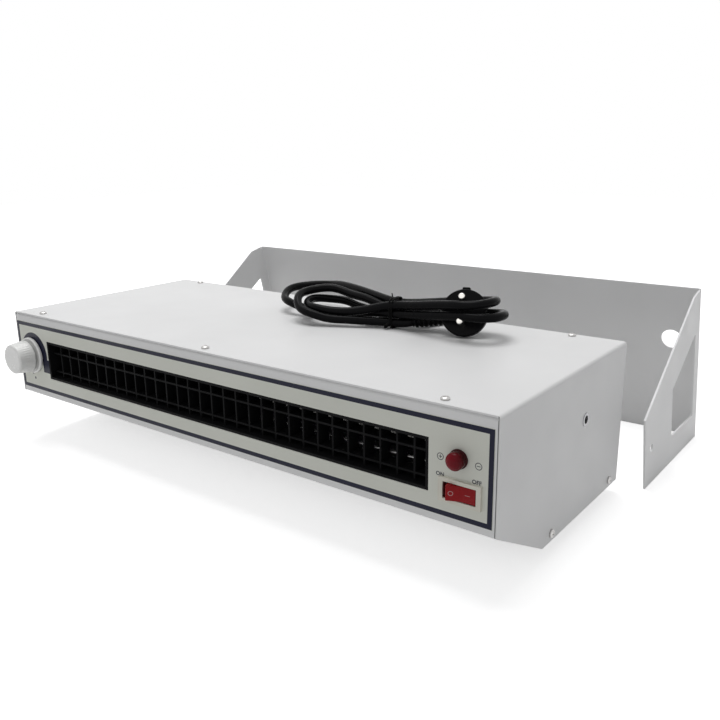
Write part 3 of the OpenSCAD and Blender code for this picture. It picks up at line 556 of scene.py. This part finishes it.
def bracket_paint(name, colour):
    """Satin paint, worn bright along the cut edges of the sheet: an edge is where the surface
    faces neither along X nor square to the leaning plate."""
    f = Finish(name)
    normal = f.add("ShaderNodeNewGeometry", {}, {}).out("True Normal")
    split = f.add("ShaderNodeSeparateXYZ", {}, {"Vector": normal})
    lean = math.radians(12.8)
    square = abs(split.out("Y") * math.cos(lean) + split.out("Z") * math.sin(lean))
    edge = abs(split.out("X")).most(square).below(0.55, 0.1)
    worn = edge * f.noise(90.0, 3.0).span(0.3, 0.55, 0.35, 1.0)
    tone = f.clouded(colour, 0.96, 1.03, 7.0, 3.0)
    return f.paint(base_color=f.mix(worn, tone, (0.86, 0.86, 0.87)),
                   roughness=f.scuffed(0.46, 0.06, 0.06, 60.0, 4.0),
                   normal=f.grained(1000.0, 0.1, 0.00004))


def finishes(colours):
    """One finish for each material slot of the record, and one for the printed words."""
    return {
        "white_paint": painted_sheet("case_enamel", colours.paint[:]),
        "bracket_paint": bracket_paint("bracket_enamel", colours.bracket[:]),
        "label_film": printed_label("printed_film", colours.label[:], colours.print_ink[:]),
        "black_grille": moulded("grille_black", (0.004, 0.004, 0.0045), 0.6, level=0.07),
        "zinc_sheet": spangled("galvanised_sheet", (0.62, 0.63, 0.64)),
        "fan_plastic": moulded("fan_nylon", (0.045, 0.045, 0.048), 0.5),
        "bright_steel": metal("drawn_steel", (0.62, 0.62, 0.61), 0.25),
        "screw_steel": metal("plated_screw", (0.56, 0.55, 0.54), 0.3, (500.0, 500.0, 500.0)),
        "bearing_rubber": moulded("bearing_rubber", (0.022, 0.022, 0.022), 0.7),
        "bronze": metal("sintered_bronze", (0.55, 0.36, 0.17), 0.45, (700.0, 700.0, 700.0)),
        "laminations": striped("stacked_plates", (0.36, 0.36, 0.37), (0.10, 0.10, 0.10),
                               0, 0.0006, 0.8),
        "winding": striped("enamelled_wire", (0.45, 0.17, 0.06), (0.16, 0.05, 0.02),
                           2, 0.0004, 0.6, 0.35),
        "cast_bridge": metal("die_casting", (0.50, 0.50, 0.50), 0.5, (300.0, 300.0, 300.0)),
        "insulator": moulded("white_insulator", (0.66, 0.65, 0.62), 0.4),
        "mica": striped("mica_sheet", (0.42, 0.34, 0.22), (0.30, 0.24, 0.15), 1, 0.0012),
        "heater_wire": striped("resistance_wire", (0.40, 0.37, 0.33), (0.06, 0.05, 0.05),
                               0, 0.0012, 0.9, 0.4, 0.0003),
        "potting": moulded("potting_resin", (0.010, 0.010, 0.012), 0.3),
        "board_green": circuit_green("solder_mask"),
        "nylon": moulded("natural_nylon", (0.62, 0.60, 0.53), 0.45),
        "control_black": moulded("control_black", (0.015, 0.015, 0.016), 0.4),
        "knob_white": knob_plastic("knob_white", (0.84, 0.84, 0.825)),
        "lens_red": lamp_lens("lens_red", colours.lamp[:]),
        "bezel_ivory": switch_bezel("bezel_ivory", (0.66, 0.64, 0.56)),
        "terminal_brass": metal("terminal_brass", (0.70, 0.52, 0.22), 0.3),
        "rocker_red": rocker_plastic("rocker_red", colours.rocker[:]),
        "foot_rubber": moulded("foot_rubber", (0.016, 0.016, 0.016), 0.75, 0.1, 900.0, 0.00008),
        "insert_steel": metal("zinc_insert", (0.40, 0.40, 0.41), 0.35, (600.0, 600.0, 600.0)),
        "cord_black": moulded("lead_sheath", colours.cord[:], 0.25, 0.1, 700.0, 0.00004,
                              level=0.05),
        "tie_black": moulded("tie_plastic", (0.003, 0.003, 0.003), 0.4, level=0.06),
        "pin_nickel": metal("pin_nickel", (0.80, 0.78, 0.74), 0.16, (500.0, 500.0, 500.0), 0.05),
        "printing": moulded("printing_ink", colours.print_ink[:], 0.35),
    }


FINISHES = {}


# ---------- mains lead ----------

# The lead's route from its gland over the rear edge, as in the model: case millimetres, with the
# height over the roof
LEAD_START = [[GLAND_AT[0], 200, GLAND_AT[1]], [GLAND_AT[0], 212, GLAND_AT[1]]]
LEAD_ROUTE = [
    [300, 228, -60], [300.5, 238, -60], [303, 248, -59], [309, 256, -56], [318, 261, -51],
    [328, 263, -44], [338, 261, -35], [346, 255, -24], [352, 245, -12], [356, 232, -1],
    [358, 218, 6], [359, 205, 8.5], [359, 193, 7.5], [358.5, 182, 5.4], [356, 171, 4.2],
    [350.5, 161, 3.8], [342, 152, 4.2], [336, 148.2, 4.7]]
PLUG_ROUTE = [[334, 140.4, 4.8], [338.5, 140.7, 5], [343, 141.6, 5.8], [347, 142.9, 6.9]]
LEAD_STEP = 0.0022
LEAD_STIFFNESS = 0.0048

# The tie's middle, half the gap between the two runs under it, and the three layers of the hank
TIE_AT = np.array([329.5, 144.0])
RUN_GAP = 3.65
LOW, MIDDLE, HIGH = 4.85, 12.15, 19.45

# The hank's loops, left and right in turn: direction in degrees, reach, radius and heights
HANK_LOOPS = (
    (184.2, 63.1, 22.0, (LOW, 8.8, 12.6, 15.5, 13.5, 11.7, HIGH)),
    (5.5, 67.0, 18.5, (HIGH, 25.0, 29.5, 28.0, HIGH)),
    (171.9, 103.7, 25.1, (HIGH, 21.9, 18.8, 17.6, 11.4, 6.9, MIDDLE)),
    (4.5, 74.0, 19.0, (MIDDLE, 16.0, 19.5, 20.0, MIDDLE)),
    (189.0, 67.6, 23.6, (MIDDLE, 19.2, 23.4, 21.4, 11.3, 5.9, LOW)))


def hank_loop(turn, reach, radius, heights):
    """One end loop of the hank, from the back run at the tie round to the front run.
    Two straight legs touch a small circle at the tie and a large one, radius, at reach. The
    path passes the heights at equal steps, with h = a + (b - a)(1 - cos pi f) / 2 between
    two of them, and turn is the loop's direction."""
    slope = (radius - RUN_GAP) / reach
    lean = math.asin(slope)
    legs = np.array([0.12, 0.38, 0.64, 0.88])[:, None]
    angle = np.linspace(math.pi / 2 + lean, -math.pi / 2 - lean, 11)
    bend = np.stack([reach + radius * np.cos(angle), radius * np.sin(angle)], -1)
    start = np.array([-slope * RUN_GAP, RUN_GAP])
    out = start + (bend[0] - start) * legs
    home = bend[-1] + (start * [1, -1] - bend[-1]) * legs
    flat = np.vstack([out, bend, home])
    if math.cos(math.radians(turn)) < 0:
        flat = flat * [1, -1]
    keys = np.array(heights)
    s = np.linspace(0.04, 0.96, len(flat)) * (len(keys) - 1)
    first = s.astype(int)
    blend = 0.5 - 0.5 * np.cos(math.pi * (s - first))
    height = keys[first] * (1 - blend) + keys[first + 1] * blend
    c, t = math.cos(math.radians(turn)), math.sin(math.radians(turn))
    return np.column_stack([flat @ np.array([[c, t], [-t, c]]) + TIE_AT, height])


def lead_points():
    """The whole lead: its route, the hank's loops through the tie and the plug's end. The lead
    runs a left loop from its back run and a right loop from its front run, so backwards."""
    loops = [hank_loop(*loop)[::(-1) ** k] for k, loop in enumerate(HANK_LOOPS)]
    return np.vstack([LEAD_START, LEAD_ROUTE, *loops, PLUG_ROUTE])


class BLOWER_OT_mains_lead(bpy.types.Operator):
    """Make the mains lead as one tube from its gland through the hank to the plug"""
    bl_idname = "blower.mains_lead"
    bl_label = "Mains lead"

    def execute(self, context):
        diameter = context.scene.blower_sizes.lead_diameter
        path = eased(smooth_path(on_case(lead_points()), LEAD_STEP), LEAD_STIFFNESS, LEAD_STEP)
        piece = show("mains_lead", swept(path, diameter / 2, 14), "housing", "cord_black",
                     ("mains_cord", "cord_hank", "plug_lead"), 80.0)
        return {"FINISHED"}


# The plug's face: its turn about the upright, its lean back, its middle and its radius
PLUG_TURN, PLUG_LEAN = math.radians(20.0), math.radians(22.0)
PLUG_AT = np.array([391.0, 147.0, 19.2])
PLUG_RADIUS = 18.5


def plug_axes():
    """The plug face's own axes: across, up its face and out of it."""
    ct, st = math.cos(PLUG_TURN), math.sin(PLUG_TURN)
    cl, sl = math.cos(math.pi / 2 - PLUG_LEAN), math.sin(math.pi / 2 - PLUG_LEAN)
    return np.array([[ct, st, 0.0], [-st * cl, ct * cl, sl], [st * sl, -ct * sl, cl]])


def plug_face(axes):
    """The round body: a turned form with a rounded rim, a waist and a domed back."""
    radius = PLUG_RADIUS
    profile = np.vstack([
        [[0.01, 0.0], [6, 0.0], [12, 0.0], [16.4, 0.0]],
        arc((radius - 0.9, -0.9), 0.9, 90, 0, 6),
        [[radius, -3.0], [radius, -4.6]],
        arc((radius - 1.2, -5.2), 1.2, 0, -50, 5),
        [[radius - 2.6, -8.0], [radius - 4.4, -11.4], [radius - 6.6, -14.2],
         [radius - 10.0, -15.0], [0.01, -15.0]]])

    def notched(r, h, t):
        """Two earth-clip notches at the sides of the rim: r less a bell about t = 0 and pi."""
        side = np.exp(-(np.minimum(abs(np.cos(t) - 1), abs(np.cos(t) + 1)) / 0.012) ** 2)
        deep = np.clip((h + 5.5) / 2.0, 0, 1)
        return r - 2.4 * side * deep * (r > radius - 3), h

    return turned(profile, PLUG_AT, axes, 96, notched)


def plug_sleeve(axes):
    """The tapered sleeve to the lead: a tube along a line, with eleven ribs on its far half."""
    start, end = np.array([0, 0, -8.0]), np.array([-42.8, -7.2, -15.1])
    thick, thin, depth = 7.5, 4.7, 0.7
    s = np.linspace(0, 1, 90)
    line = start + (end - start) * s[:, None]
    ribs = np.where(s > 0.42, depth * np.clip(np.sin(s * 2 * math.pi * 11) * 2.0, -1, 1), 0.0)
    radius = thick + (thin - thick) * s + ribs - 0.5
    return swept(on_case(PLUG_AT + line @ axes), radius * MM, 40)


def plug_key(axes):
    """The flat key on the plug's rim: the ring x = a |cos t|^p, y = b |sin t|^p, signs kept,
    carried through its depth."""
    wide, tall, power, sides = 3.0, 1.8, 0.25, 32
    t = np.linspace(0, 2 * math.pi, sides, endpoint=False)
    ring = np.stack([wide * np.sign(np.cos(t)) * abs(np.cos(t)) ** power,
                     tall * np.sign(np.sin(t)) * abs(np.sin(t)) ** power], -1)
    size = np.array([0.9, 1.0, 1.0, 0.9])[:, None]
    depth = np.array([-1.0, -1.3, -5.7, -6.0])[:, None]
    rings = np.stack([ring[:, 0] * size, PLUG_RADIUS - 0.2 + ring[:, 1] * size,
                      np.broadcast_to(depth, (4, sides))], -1)
    return closed_rings(on_case(PLUG_AT + rings @ axes))


def plug_pins(axes):
    """Two round pins with domed ends, on the standard pitch."""
    radius, tip, length, pitch = 2.4, 0.9, 18.1, 19.0
    profile = np.vstack([[[0.01, -6.0], [radius, -6.0], [radius, length - tip]],
                         arc((radius - tip, length - tip), tip, 0, 90, 5), [[0.01, length]]])
    return joined(*(turned(profile, PLUG_AT + np.array([0, side * pitch / 2, 0]) @ axes, axes, 28)
                    for side in (-1, 1)))


class BLOWER_OT_plug(bpy.types.Operator):
    """Make the angled plug, its sleeve and its two pins"""
    bl_idname = "blower.plug"
    bl_label = "Mains plug"

    def execute(self, context):
        axes = plug_axes()
        show("mains_plug", joined(plug_face(axes), plug_sleeve(axes), plug_key(axes)),
             "housing", "cord_black", ("plug_body",), 32.0)
        show("plug_pins_round", plug_pins(axes), "housing", "pin_nickel", ("plug_pins",), 32.0)
        return {"FINISHED"}


class BLOWER_OT_tie(bpy.types.Operator):
    """Make the wire tie round the middle of the hank"""
    bl_idname = "blower.tie"
    bl_label = "Hank tie"

    def execute(self, context):
        x, y = TIE_AT
        turns = self.turn(-1.1, 0.4), self.turn(0.9, -0.3)
        s = np.linspace(0, 1, 40)
        twist = np.stack([x - 2.0 + 0.9 * np.cos(s * 30), y - 8.6 - 4.0 * s,
                          4.0 - 1.2 * s + 0.9 * np.sin(s * 30)], -1)
        whisker = np.stack([x - 5.0 + 1.5 * s, y + 2.0 - 3.0 * s,
                            24.6 + 4.2 * s - 1.0 * s ** 2], -1)
        form = joined(*turns, swept(on_case(twist), 0.9 * MM, 10),
                      swept(on_case(whisker), 0.5 * MM, 8, up=(1.0, 0.0, 0.0)))
        show("hank_tie", form, "housing", "tie_black", ("cord_tie",), 60.0)
        return {"FINISHED"}

    def turn(self, shift, wobble):
        """One turn of wire: y = a |cos t|^p, z = b |sin t|^p, signs kept, flat underneath."""
        half_y, half_z, middle, power, lowest = 8.3, 12.2, 12.2, 0.42, 0.9
        t = np.linspace(0, 2 * math.pi, 120, endpoint=False)
        y = TIE_AT[1] + half_y * np.sign(np.cos(t)) * abs(np.cos(t)) ** power
        z = middle + half_z * np.sign(np.sin(t)) * abs(np.sin(t)) ** power
        x = TIE_AT[0] + shift + wobble * np.sin(t * 2)
        ring = np.stack([x, y, np.maximum(z, lowest)], -1)
        return swept(on_case(np.vstack([ring, ring[:1]])), 0.75 * MM, 10, up=(1.0, 0.0, 0.0))


# ---------- controls ----------

class BLOWER_OT_knob(bpy.types.Operator):
    """Make the white speed knob with its skirt, waist and fine grip"""
    bl_idname = "blower.knob"
    bl_label = "Speed knob"

    def execute(self, context):
        grip = context.scene.blower_sizes.knob_radius / MM
        skirt, out = 16.6, 21.0
        profile = np.vstack([
            [[0.01, 1.0], [9, 1.0], [skirt - 0.5, 1.0]],
            arc((skirt - 0.4, 1.4), 0.4, -90, 0, 4),
            arc((skirt - 0.6, 2.6), 0.6, 0, 60, 4),
            [[grip + 1.6, 3.9]], arc((grip + 0.5, 4.9), 1.0, 250, 180, 5),
            [[grip - 0.4, 5.8], [grip + 0.5, 6.4], [grip + 0.8, 7.0],
             [grip + 0.5, 10], [grip + 0.1, 14], [grip - 0.5, out - 2.2]],
            arc((grip - 2.5, out - 2.0), 2.0, 0, 90, 8),
            [[grip - 5, out - 0.05], [grip - 8, out - 0.12], [0.01, out - 0.15]]])

        def fluted(r, h, t):
            """Shallow flutes that fade out before the face: r - d (1 - cos n t) / 2."""
            flutes, depth, fade = 40, 0.28, 1.2
            along = np.clip((h - 8.0) / fade, 0, 1) * np.clip((out - 3.0 - h) / fade, 0, 1)
            return r - depth * along * (0.5 - 0.5 * np.cos(t * flutes)), h

        form = turned(profile, (KNOB_AT[0], 0, KNOB_AT[1]), "front", 240, fluted)
        show("knob_skirted", form, "knob", "knob_white", ("speed_knob",), 30.0)
        return {"FINISHED"}


class BLOWER_OT_lamp(bpy.types.Operator):
    """Make the lamp's domed red lens with its seating ring"""
    bl_idname = "blower.lamp"
    bl_label = "Indicator lamp"

    def execute(self, context):
        r, out, seat, shoulder = 6.2, 9.2, 5.7, 5.6
        t = np.linspace(0, 1.55, 14)
        dome = np.stack([seat * np.cos(t) ** 0.8,
                         shoulder + (out - shoulder) * np.sin(t)], -1)
        profile = np.vstack([
            [[0.01, 0.4], [r - 0.3, 0.4], [r, 0.7], [r, 1.5], [r - 0.3, 1.8],
             [seat, 1.9], [seat, 5.4]], dome, [[0.01, out]]])
        form = turned(profile, (LAMP_AT[0], 0, LAMP_AT[1]), "front", 64)
        show("lamp_dome", form, "housing", "lens_red", ("lamp_lens",), 35.0)
        return {"FINISHED"}


class BLOWER_OT_rocker(bpy.types.Operator):
    """Make the red rocker with its shallow hollow and rounded edges"""
    bl_idname = "blower.rocker"
    bl_label = "Rocker"
    pivot = 4.5

    def execute(self, context):
        half, wing, height, tilt = 9.4, 8.6, 10.0, math.radians(12.0)
        ring = self.outline(half, wing)
        levels = np.array([-height / 2, -height / 2 + 0.12, -height / 2 + 0.4, 0,
                           height / 2 - 0.4, height / 2 - 0.12, height / 2])
        inset = np.array([0.45, 0.12, 0.0, 0.0, 0.0, 0.12, 0.45])
        flat = ring[None] * (1 - inset[:, None, None] / np.array([half, wing]))
        c, s = math.cos(tilt), math.sin(tilt)
        x = flat[..., 0] * c - flat[..., 1] * s
        y = flat[..., 0] * s + flat[..., 1] * c
        body = closed_rings(on_case(np.stack([
            SWITCH_AT[0] + x, self.pivot + y,
            np.broadcast_to(SWITCH_AT[1] + levels[:, None], x.shape)], -1)))
        pins = turned([[0.01, -5.9], [1.5, -5.9], [1.5, 5.9], [0.01, 5.9]],
                      (SWITCH_AT[0], self.pivot, SWITCH_AT[1]), "up", 24)
        show("rocker_red_cap", joined(body, pins), "rocker", "rocker_red", ("rocker",), 28.0)
        return {"FINISHED"}

    def outline(self, half, wing):
        """The section across the pivot: a face y = -w + d (1 - |u|) + e (1 - u^2) over u from
        -1 to 1, and the sides and the heel behind it."""
        u = np.linspace(-1, 1, 25)
        face = np.stack([u * half, -wing + 1.6 * (1 - abs(u)) + 0.25 * (1 - u * u)], -1)
        face[0] += [0.35, 0.0]
        face[-1] += [-0.35, 0.0]
        return np.vstack([
            face, [[half, -wing + 0.5], [half - 0.3, -5.0], [half - 0.6, -2.0], [4.0, 4.0],
                   [0.0, 4.0], [-4.0, 4.0], [-half + 0.6, -2.0], [-half + 0.3, -5.0],
                   [-half, -wing + 0.5]]])


class BLOWER_OT_words(bpy.types.Operator):
    """Print ON and OFF beside the switch"""
    bl_idname = "blower.words"
    bl_label = "Switch words"

    def execute(self, context):
        height = context.scene.blower_sizes.letter_height
        capital = 0.72
        upright = Matrix.Rotation(math.pi / 2, 4, "X")
        for word, station in WORDS:
            curve = bpy.data.curves.new("word_" + word, "FONT")
            curve.body = word
            curve.size = height / capital
            curve.align_x, curve.align_y = "CENTER", "CENTER"
            curve.extrude, curve.offset = 0.00002, 0.00008
            source = bpy.data.objects.new("word_" + word, curve)
            context.scene.collection.objects.link(source)
            context.view_layer.update()
            mesh = bpy.data.meshes.new_from_object(
                source.evaluated_get(context.evaluated_depsgraph_get()))
            bpy.data.objects.remove(source)
            x, z = print_place(*station)
            mesh.transform(Matrix.Translation((x, CASE[1] + WORD_FACE * MM, z)) @ upright)
            mesh.materials.clear()
            mesh.materials.append(FINISHES["printing"])
            placed("print_" + word.lower(), mesh, "housing")
        return {"FINISHED"}


def cross_headed(r, h, t):
    """A cross recess in a screw's head: h falls by its depth where a point lies in either arm."""
    x, z = abs(r * np.cos(t)), abs(r * np.sin(t))
    half_arm, reach, depth, neck = 0.42, 1.75, 0.9, 0.9
    inside = (np.minimum(x, z) < half_arm) & (np.maximum(x, z) < reach) & (h > neck)
    return r, h - depth * inside * np.clip((1.95 - r) / 0.7, 0, 1)


class BLOWER_OT_screws(bpy.types.Operator):
    """Make the pan-head screws of the cover and the sides"""
    bl_idname = "blower.screws"
    bl_label = "Case screws"

    def execute(self, context):
        radius, height, length = 3.0, 2.0, 7.0
        s = np.linspace(0.05, 1.0, 14)
        head = np.stack([radius * s, height - 0.95 * s ** 4], -1)[::-1]
        profile = np.vstack([
            [[0.01, -length], [0.6, -length], [1.5, 1.0 - length], [1.5, 0.0], [2.85, 0.0],
             [radius, 0.25], [radius, 0.8]], head, [[0.01, height]]])
        for node, places in (("cover_screws", cover_screw_places()),
                             ("side_screws", side_screw_places())):
            form = joined(*(turned(profile, place, axis, 48, cross_headed)
                            for place, axis in places))
            show(node + "_cross", form, "housing", "screw_steel", (node,))
        return {"FINISHED"}


def cover_screw_places():
    """The cover's screws: two rows of three, along the front and along the rear panel."""
    depth = (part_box("rear_panel")[1][1] - CASE[1]) / MM
    return [((x, y, 0.0), "up") for x in (34.0, CASE_LENGTH / 2, CASE_LENGTH - 41)
            for y in (8.0, depth - 6)]


def side_screw_places():
    """The side screws' places, read from the ends of the model's own screws."""
    low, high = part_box("side_screws")
    y0 = (low[1] - CASE[1]) / MM + 3.0
    y1 = (high[1] - CASE[1]) / MM - 3.0
    z = ((low[2] + high[2]) / 2 - CASE[2]) / MM
    return [((x, y, z), axis) for y in (y0, y1)
            for x, axis in ((0.0, "left"), (CASE_LENGTH, "right"))]


class BLOWER_OT_boot(bpy.types.Operator):
    """Make the lead's tapered boot at the back panel"""
    bl_idname = "blower.boot"
    bl_label = "Lead boot"

    def execute(self, context):
        low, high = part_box("strain_relief")
        start, end = (low[1] - CASE[1]) / MM, (high[1] - CASE[1]) / MM
        panel, cone_start = end - 26.0, end - 23.0
        thick, thin, depth = 6.1, 4.75, 0.45
        s = np.linspace(0, 1, 120)
        ribs = np.where((s > 0.14) & (s < 0.93), depth * np.sign(np.sin(s * 2 * math.pi * 5)), 0)
        cone = np.stack([thick + (thin - thick) * s + ribs - depth,
                         cone_start + (end - cone_start) * s], -1)
        profile = np.vstack([
            [[0.01, start], [6.2, start], [6.2, panel], [8.2, panel], [8.7, panel + 0.5],
             [8.7, panel + 2.5], [8.2, cone_start]], cone, [[4.2, end], [3.6, end], [0.01, end]]])
        form = turned(profile, (GLAND_AT[0], 0.0, GLAND_AT[1]), "back", 48)
        show("lead_boot", form, "housing", "cord_black", ("strain_relief",), 35.0)
        return {"FINISHED"}


# ---------- finishes of the model's own nodes ----------

class BLOWER_OT_finishes(bpy.types.Operator):
    """Build every finish and give each of the model's nodes the one of its slot"""
    bl_idname = "blower.finishes"
    bl_label = "Finishes"

    def execute(self, context):
        FINISHES.update(finishes(context.scene.blower_colours))
        slots = {s["node"]: s["material_slot"] for s in frame["record"]["subparts"]}
        for name, node in frame["nodes"].items():
            node.data.materials.clear()
            node.data.materials.append(FINISHES[slots[name]])
        return {"FINISHED"}


# ---------- stage ----------

WHITE, BLACK = (1.0, 1.0, 1.0), (0.0, 0.0, 0.0)
FLOOR_HALF, FLOOR_CELLS = 3.0, 12
# Where the floor is lit it is white with this much glow, and it needs a full glow away from it
NEAR_GLOW, LIT_REACH, LIT_FADE = (0.62, 0.62, 0.62), 0.62, 0.22
# Lamps: where each stands, facing the origin, and its width
KEY_LAMP = (-0.35, 0.15, 2.1), 1.5
FILL_LAMP = (0.2, -2.2, 1.2), 2.0
# The camera's place, its right hand side and its view, in the model's frame
CAMERA_AT = (0.4315, -0.5468, 0.2725)
CAMERA_RIGHT = (0.7962, 0.6049, -0.0134)
CAMERA_VIEW = (-0.5851, 0.7642, -0.2715)
FOCAL_LENGTH, SENSOR_WIDTH = 39.5, 36.0


def stood(name, data, place, right, up, back):
    """An object for a lamp or the camera, at a place and turned to three axes."""
    thing = bpy.data.objects.new(name, data)
    bpy.context.scene.collection.objects.link(thing)
    turn = Matrix(np.column_stack([right, up, back]).tolist()).to_4x4()
    thing.matrix_world = Matrix.Translation(place) @ turn
    return thing


def unit(vector):
    vector = np.array(vector, float)
    return vector / np.linalg.norm(vector)


class BLOWER_OT_stage(bpy.types.Operator):
    """Make the floor, the lamps, the room light and the camera"""
    bl_idname = "blower.stage"
    bl_label = "Stage"

    def execute(self, context):
        scene = context.scene
        scene.view_settings.view_transform = "Standard"
        self.floor()
        self.room(scene, scene.blower_stage.room_light)
        self.lamp("key_lamp", *KEY_LAMP, scene.blower_stage.key_power)
        self.lamp("fill_lamp", *FILL_LAMP, scene.blower_stage.fill_power)
        self.camera(scene)
        return {"FINISHED"}

    def floor(self):
        """A flat grid that is white to see and in reflections, and keeps the shadows on it."""
        across = FLOOR_CELLS + 1
        x, y = np.meshgrid(*[np.linspace(-FLOOR_HALF, FLOOR_HALF, across)] * 2)
        vertices = np.stack([x, y, np.zeros_like(x)], -1).reshape(-1, 3)
        i, j = np.meshgrid(np.arange(FLOOR_CELLS), np.arange(FLOOR_CELLS), indexing="ij")
        k = (i * across + j).ravel()
        faces = np.stack([k, k + 1, k + across + 1, k + across], -1)
        mesh = bpy.data.meshes.new("floor")
        mesh.from_pydata(vertices.tolist(), [], faces.tolist())
        f = Finish("white_bench")
        distance = f.add("ShaderNodeVectorMath", {"operation": "LENGTH"}, {0: f.place()})
        far = 1.0 - distance.out("Value").below(LIT_REACH, LIT_FADE)
        seen = f.add("ShaderNodeLightPath", {}, {})
        shown = (seen.out("Is Camera Ray").most(seen.out("Is Glossy Ray"))
                 .most(seen.out("Is Transmission Ray")))
        f.paint(base_color=(0.80, 0.80, 0.80), roughness=0.9, specular_ior_level=0.0,
                emission_color=f.mix(shown, BLACK, f.mix(far, NEAR_GLOW, WHITE)),
                emission_strength=1.0)
        mesh.materials.append(f.material)
        floor = bpy.data.objects.new("floor", mesh)
        bpy.context.scene.collection.objects.link(floor)

    def room(self, scene, strength):
        """An even light, which shows as white to see, in reflections and through glass."""
        world = bpy.data.worlds.new("room")
        scene.world = world
        world.use_nodes = True
        tree = world.node_tree
        back = tree.nodes["Background"]
        back.inputs["Color"].default_value = (0.985, 0.99, 1.0, 1.0)
        back.inputs["Strength"].default_value = strength
        white = tree.nodes.new("ShaderNodeBackground")
        white.inputs["Color"].default_value = (*WHITE, 1.0)
        path = tree.nodes.new("ShaderNodeLightPath")
        mix = tree.nodes.new("ShaderNodeMixShader")
        shown = path.outputs["Is Camera Ray"]
        for kind in ("Is Glossy Ray", "Is Transmission Ray"):
            either = tree.nodes.new("ShaderNodeMath")
            either.operation = "MAXIMUM"
            tree.links.new(shown, either.inputs[0])
            tree.links.new(path.outputs[kind], either.inputs[1])
            shown = either.outputs[0]
        for socket, value in enumerate((shown, back.outputs[0], white.outputs[0])):
            tree.links.new(value, mix.inputs[socket])
        tree.links.new(mix.outputs[0], tree.nodes["World Output"].inputs["Surface"])

    def lamp(self, name, place, size, power):
        light = bpy.data.lights.new(name, "AREA")
        light.shape, light.size, light.energy = "DISK", size, power
        back = unit(place)
        right = unit(np.cross((0, 0, 1.0), back))
        stood(name, light, place, right, np.cross(back, right), back)

    def camera(self, scene):
        data = bpy.data.cameras.new("camera")
        data.lens, data.sensor_width = FOCAL_LENGTH, SENSOR_WIDTH
        data.clip_start, data.clip_end = 0.05, 50.0
        view = unit(CAMERA_VIEW)
        right = unit(np.array(CAMERA_RIGHT) - view * (np.array(CAMERA_RIGHT) @ view))
        scene.camera = stood("camera", data, CAMERA_AT, right, np.cross(right, view), -view)


OPERATORS = (
    BLOWER_OT_finishes, BLOWER_OT_plug, BLOWER_OT_tie, BLOWER_OT_boot, BLOWER_OT_mains_lead,
    BLOWER_OT_knob, BLOWER_OT_lamp, BLOWER_OT_rocker, BLOWER_OT_words, BLOWER_OT_screws,
    BLOWER_OT_stage)


class BLOWER_PT_panel(bpy.types.Panel):
    """List the blower's pieces and their settings"""
    bl_idname = "BLOWER_PT_panel"
    bl_label = "Ionizing Blower"
    bl_space_type = "VIEW_3D"
    bl_region_type = "UI"
    bl_category = "Blower"

    def draw(self, context):
        for group in (context.scene.blower_sizes, context.scene.blower_colours,
                      context.scene.blower_stage):
            for name in group.__annotations__:
                self.layout.prop(group, name)
        for operator in OPERATORS:
            self.layout.operator(operator.bl_idname)


GROUPS = {"blower_sizes": BlowerSizes, "blower_colours": BlowerColours,
          "blower_stage": BlowerStage}


def register():
    for cls in (*GROUPS.values(), *OPERATORS, BLOWER_PT_panel):
        bpy.utils.register_class(cls)
    for name, group in GROUPS.items():
        setattr(bpy.types.Scene, name, bpy.props.PointerProperty(type=group))


def unregister():
    for name in GROUPS:
        delattr(bpy.types.Scene, name)
    for cls in (BLOWER_PT_panel, *reversed(OPERATORS), *reversed(list(GROUPS.values()))):
        bpy.utils.unregister_class(cls)


def main():
    register()
    for operator in OPERATORS:
        group, name = operator.bl_idname.split(".")
        getattr(getattr(bpy.ops, group), name)()
    bpy.context.view_layer.update()


if __name__ == "__main__":
    main()
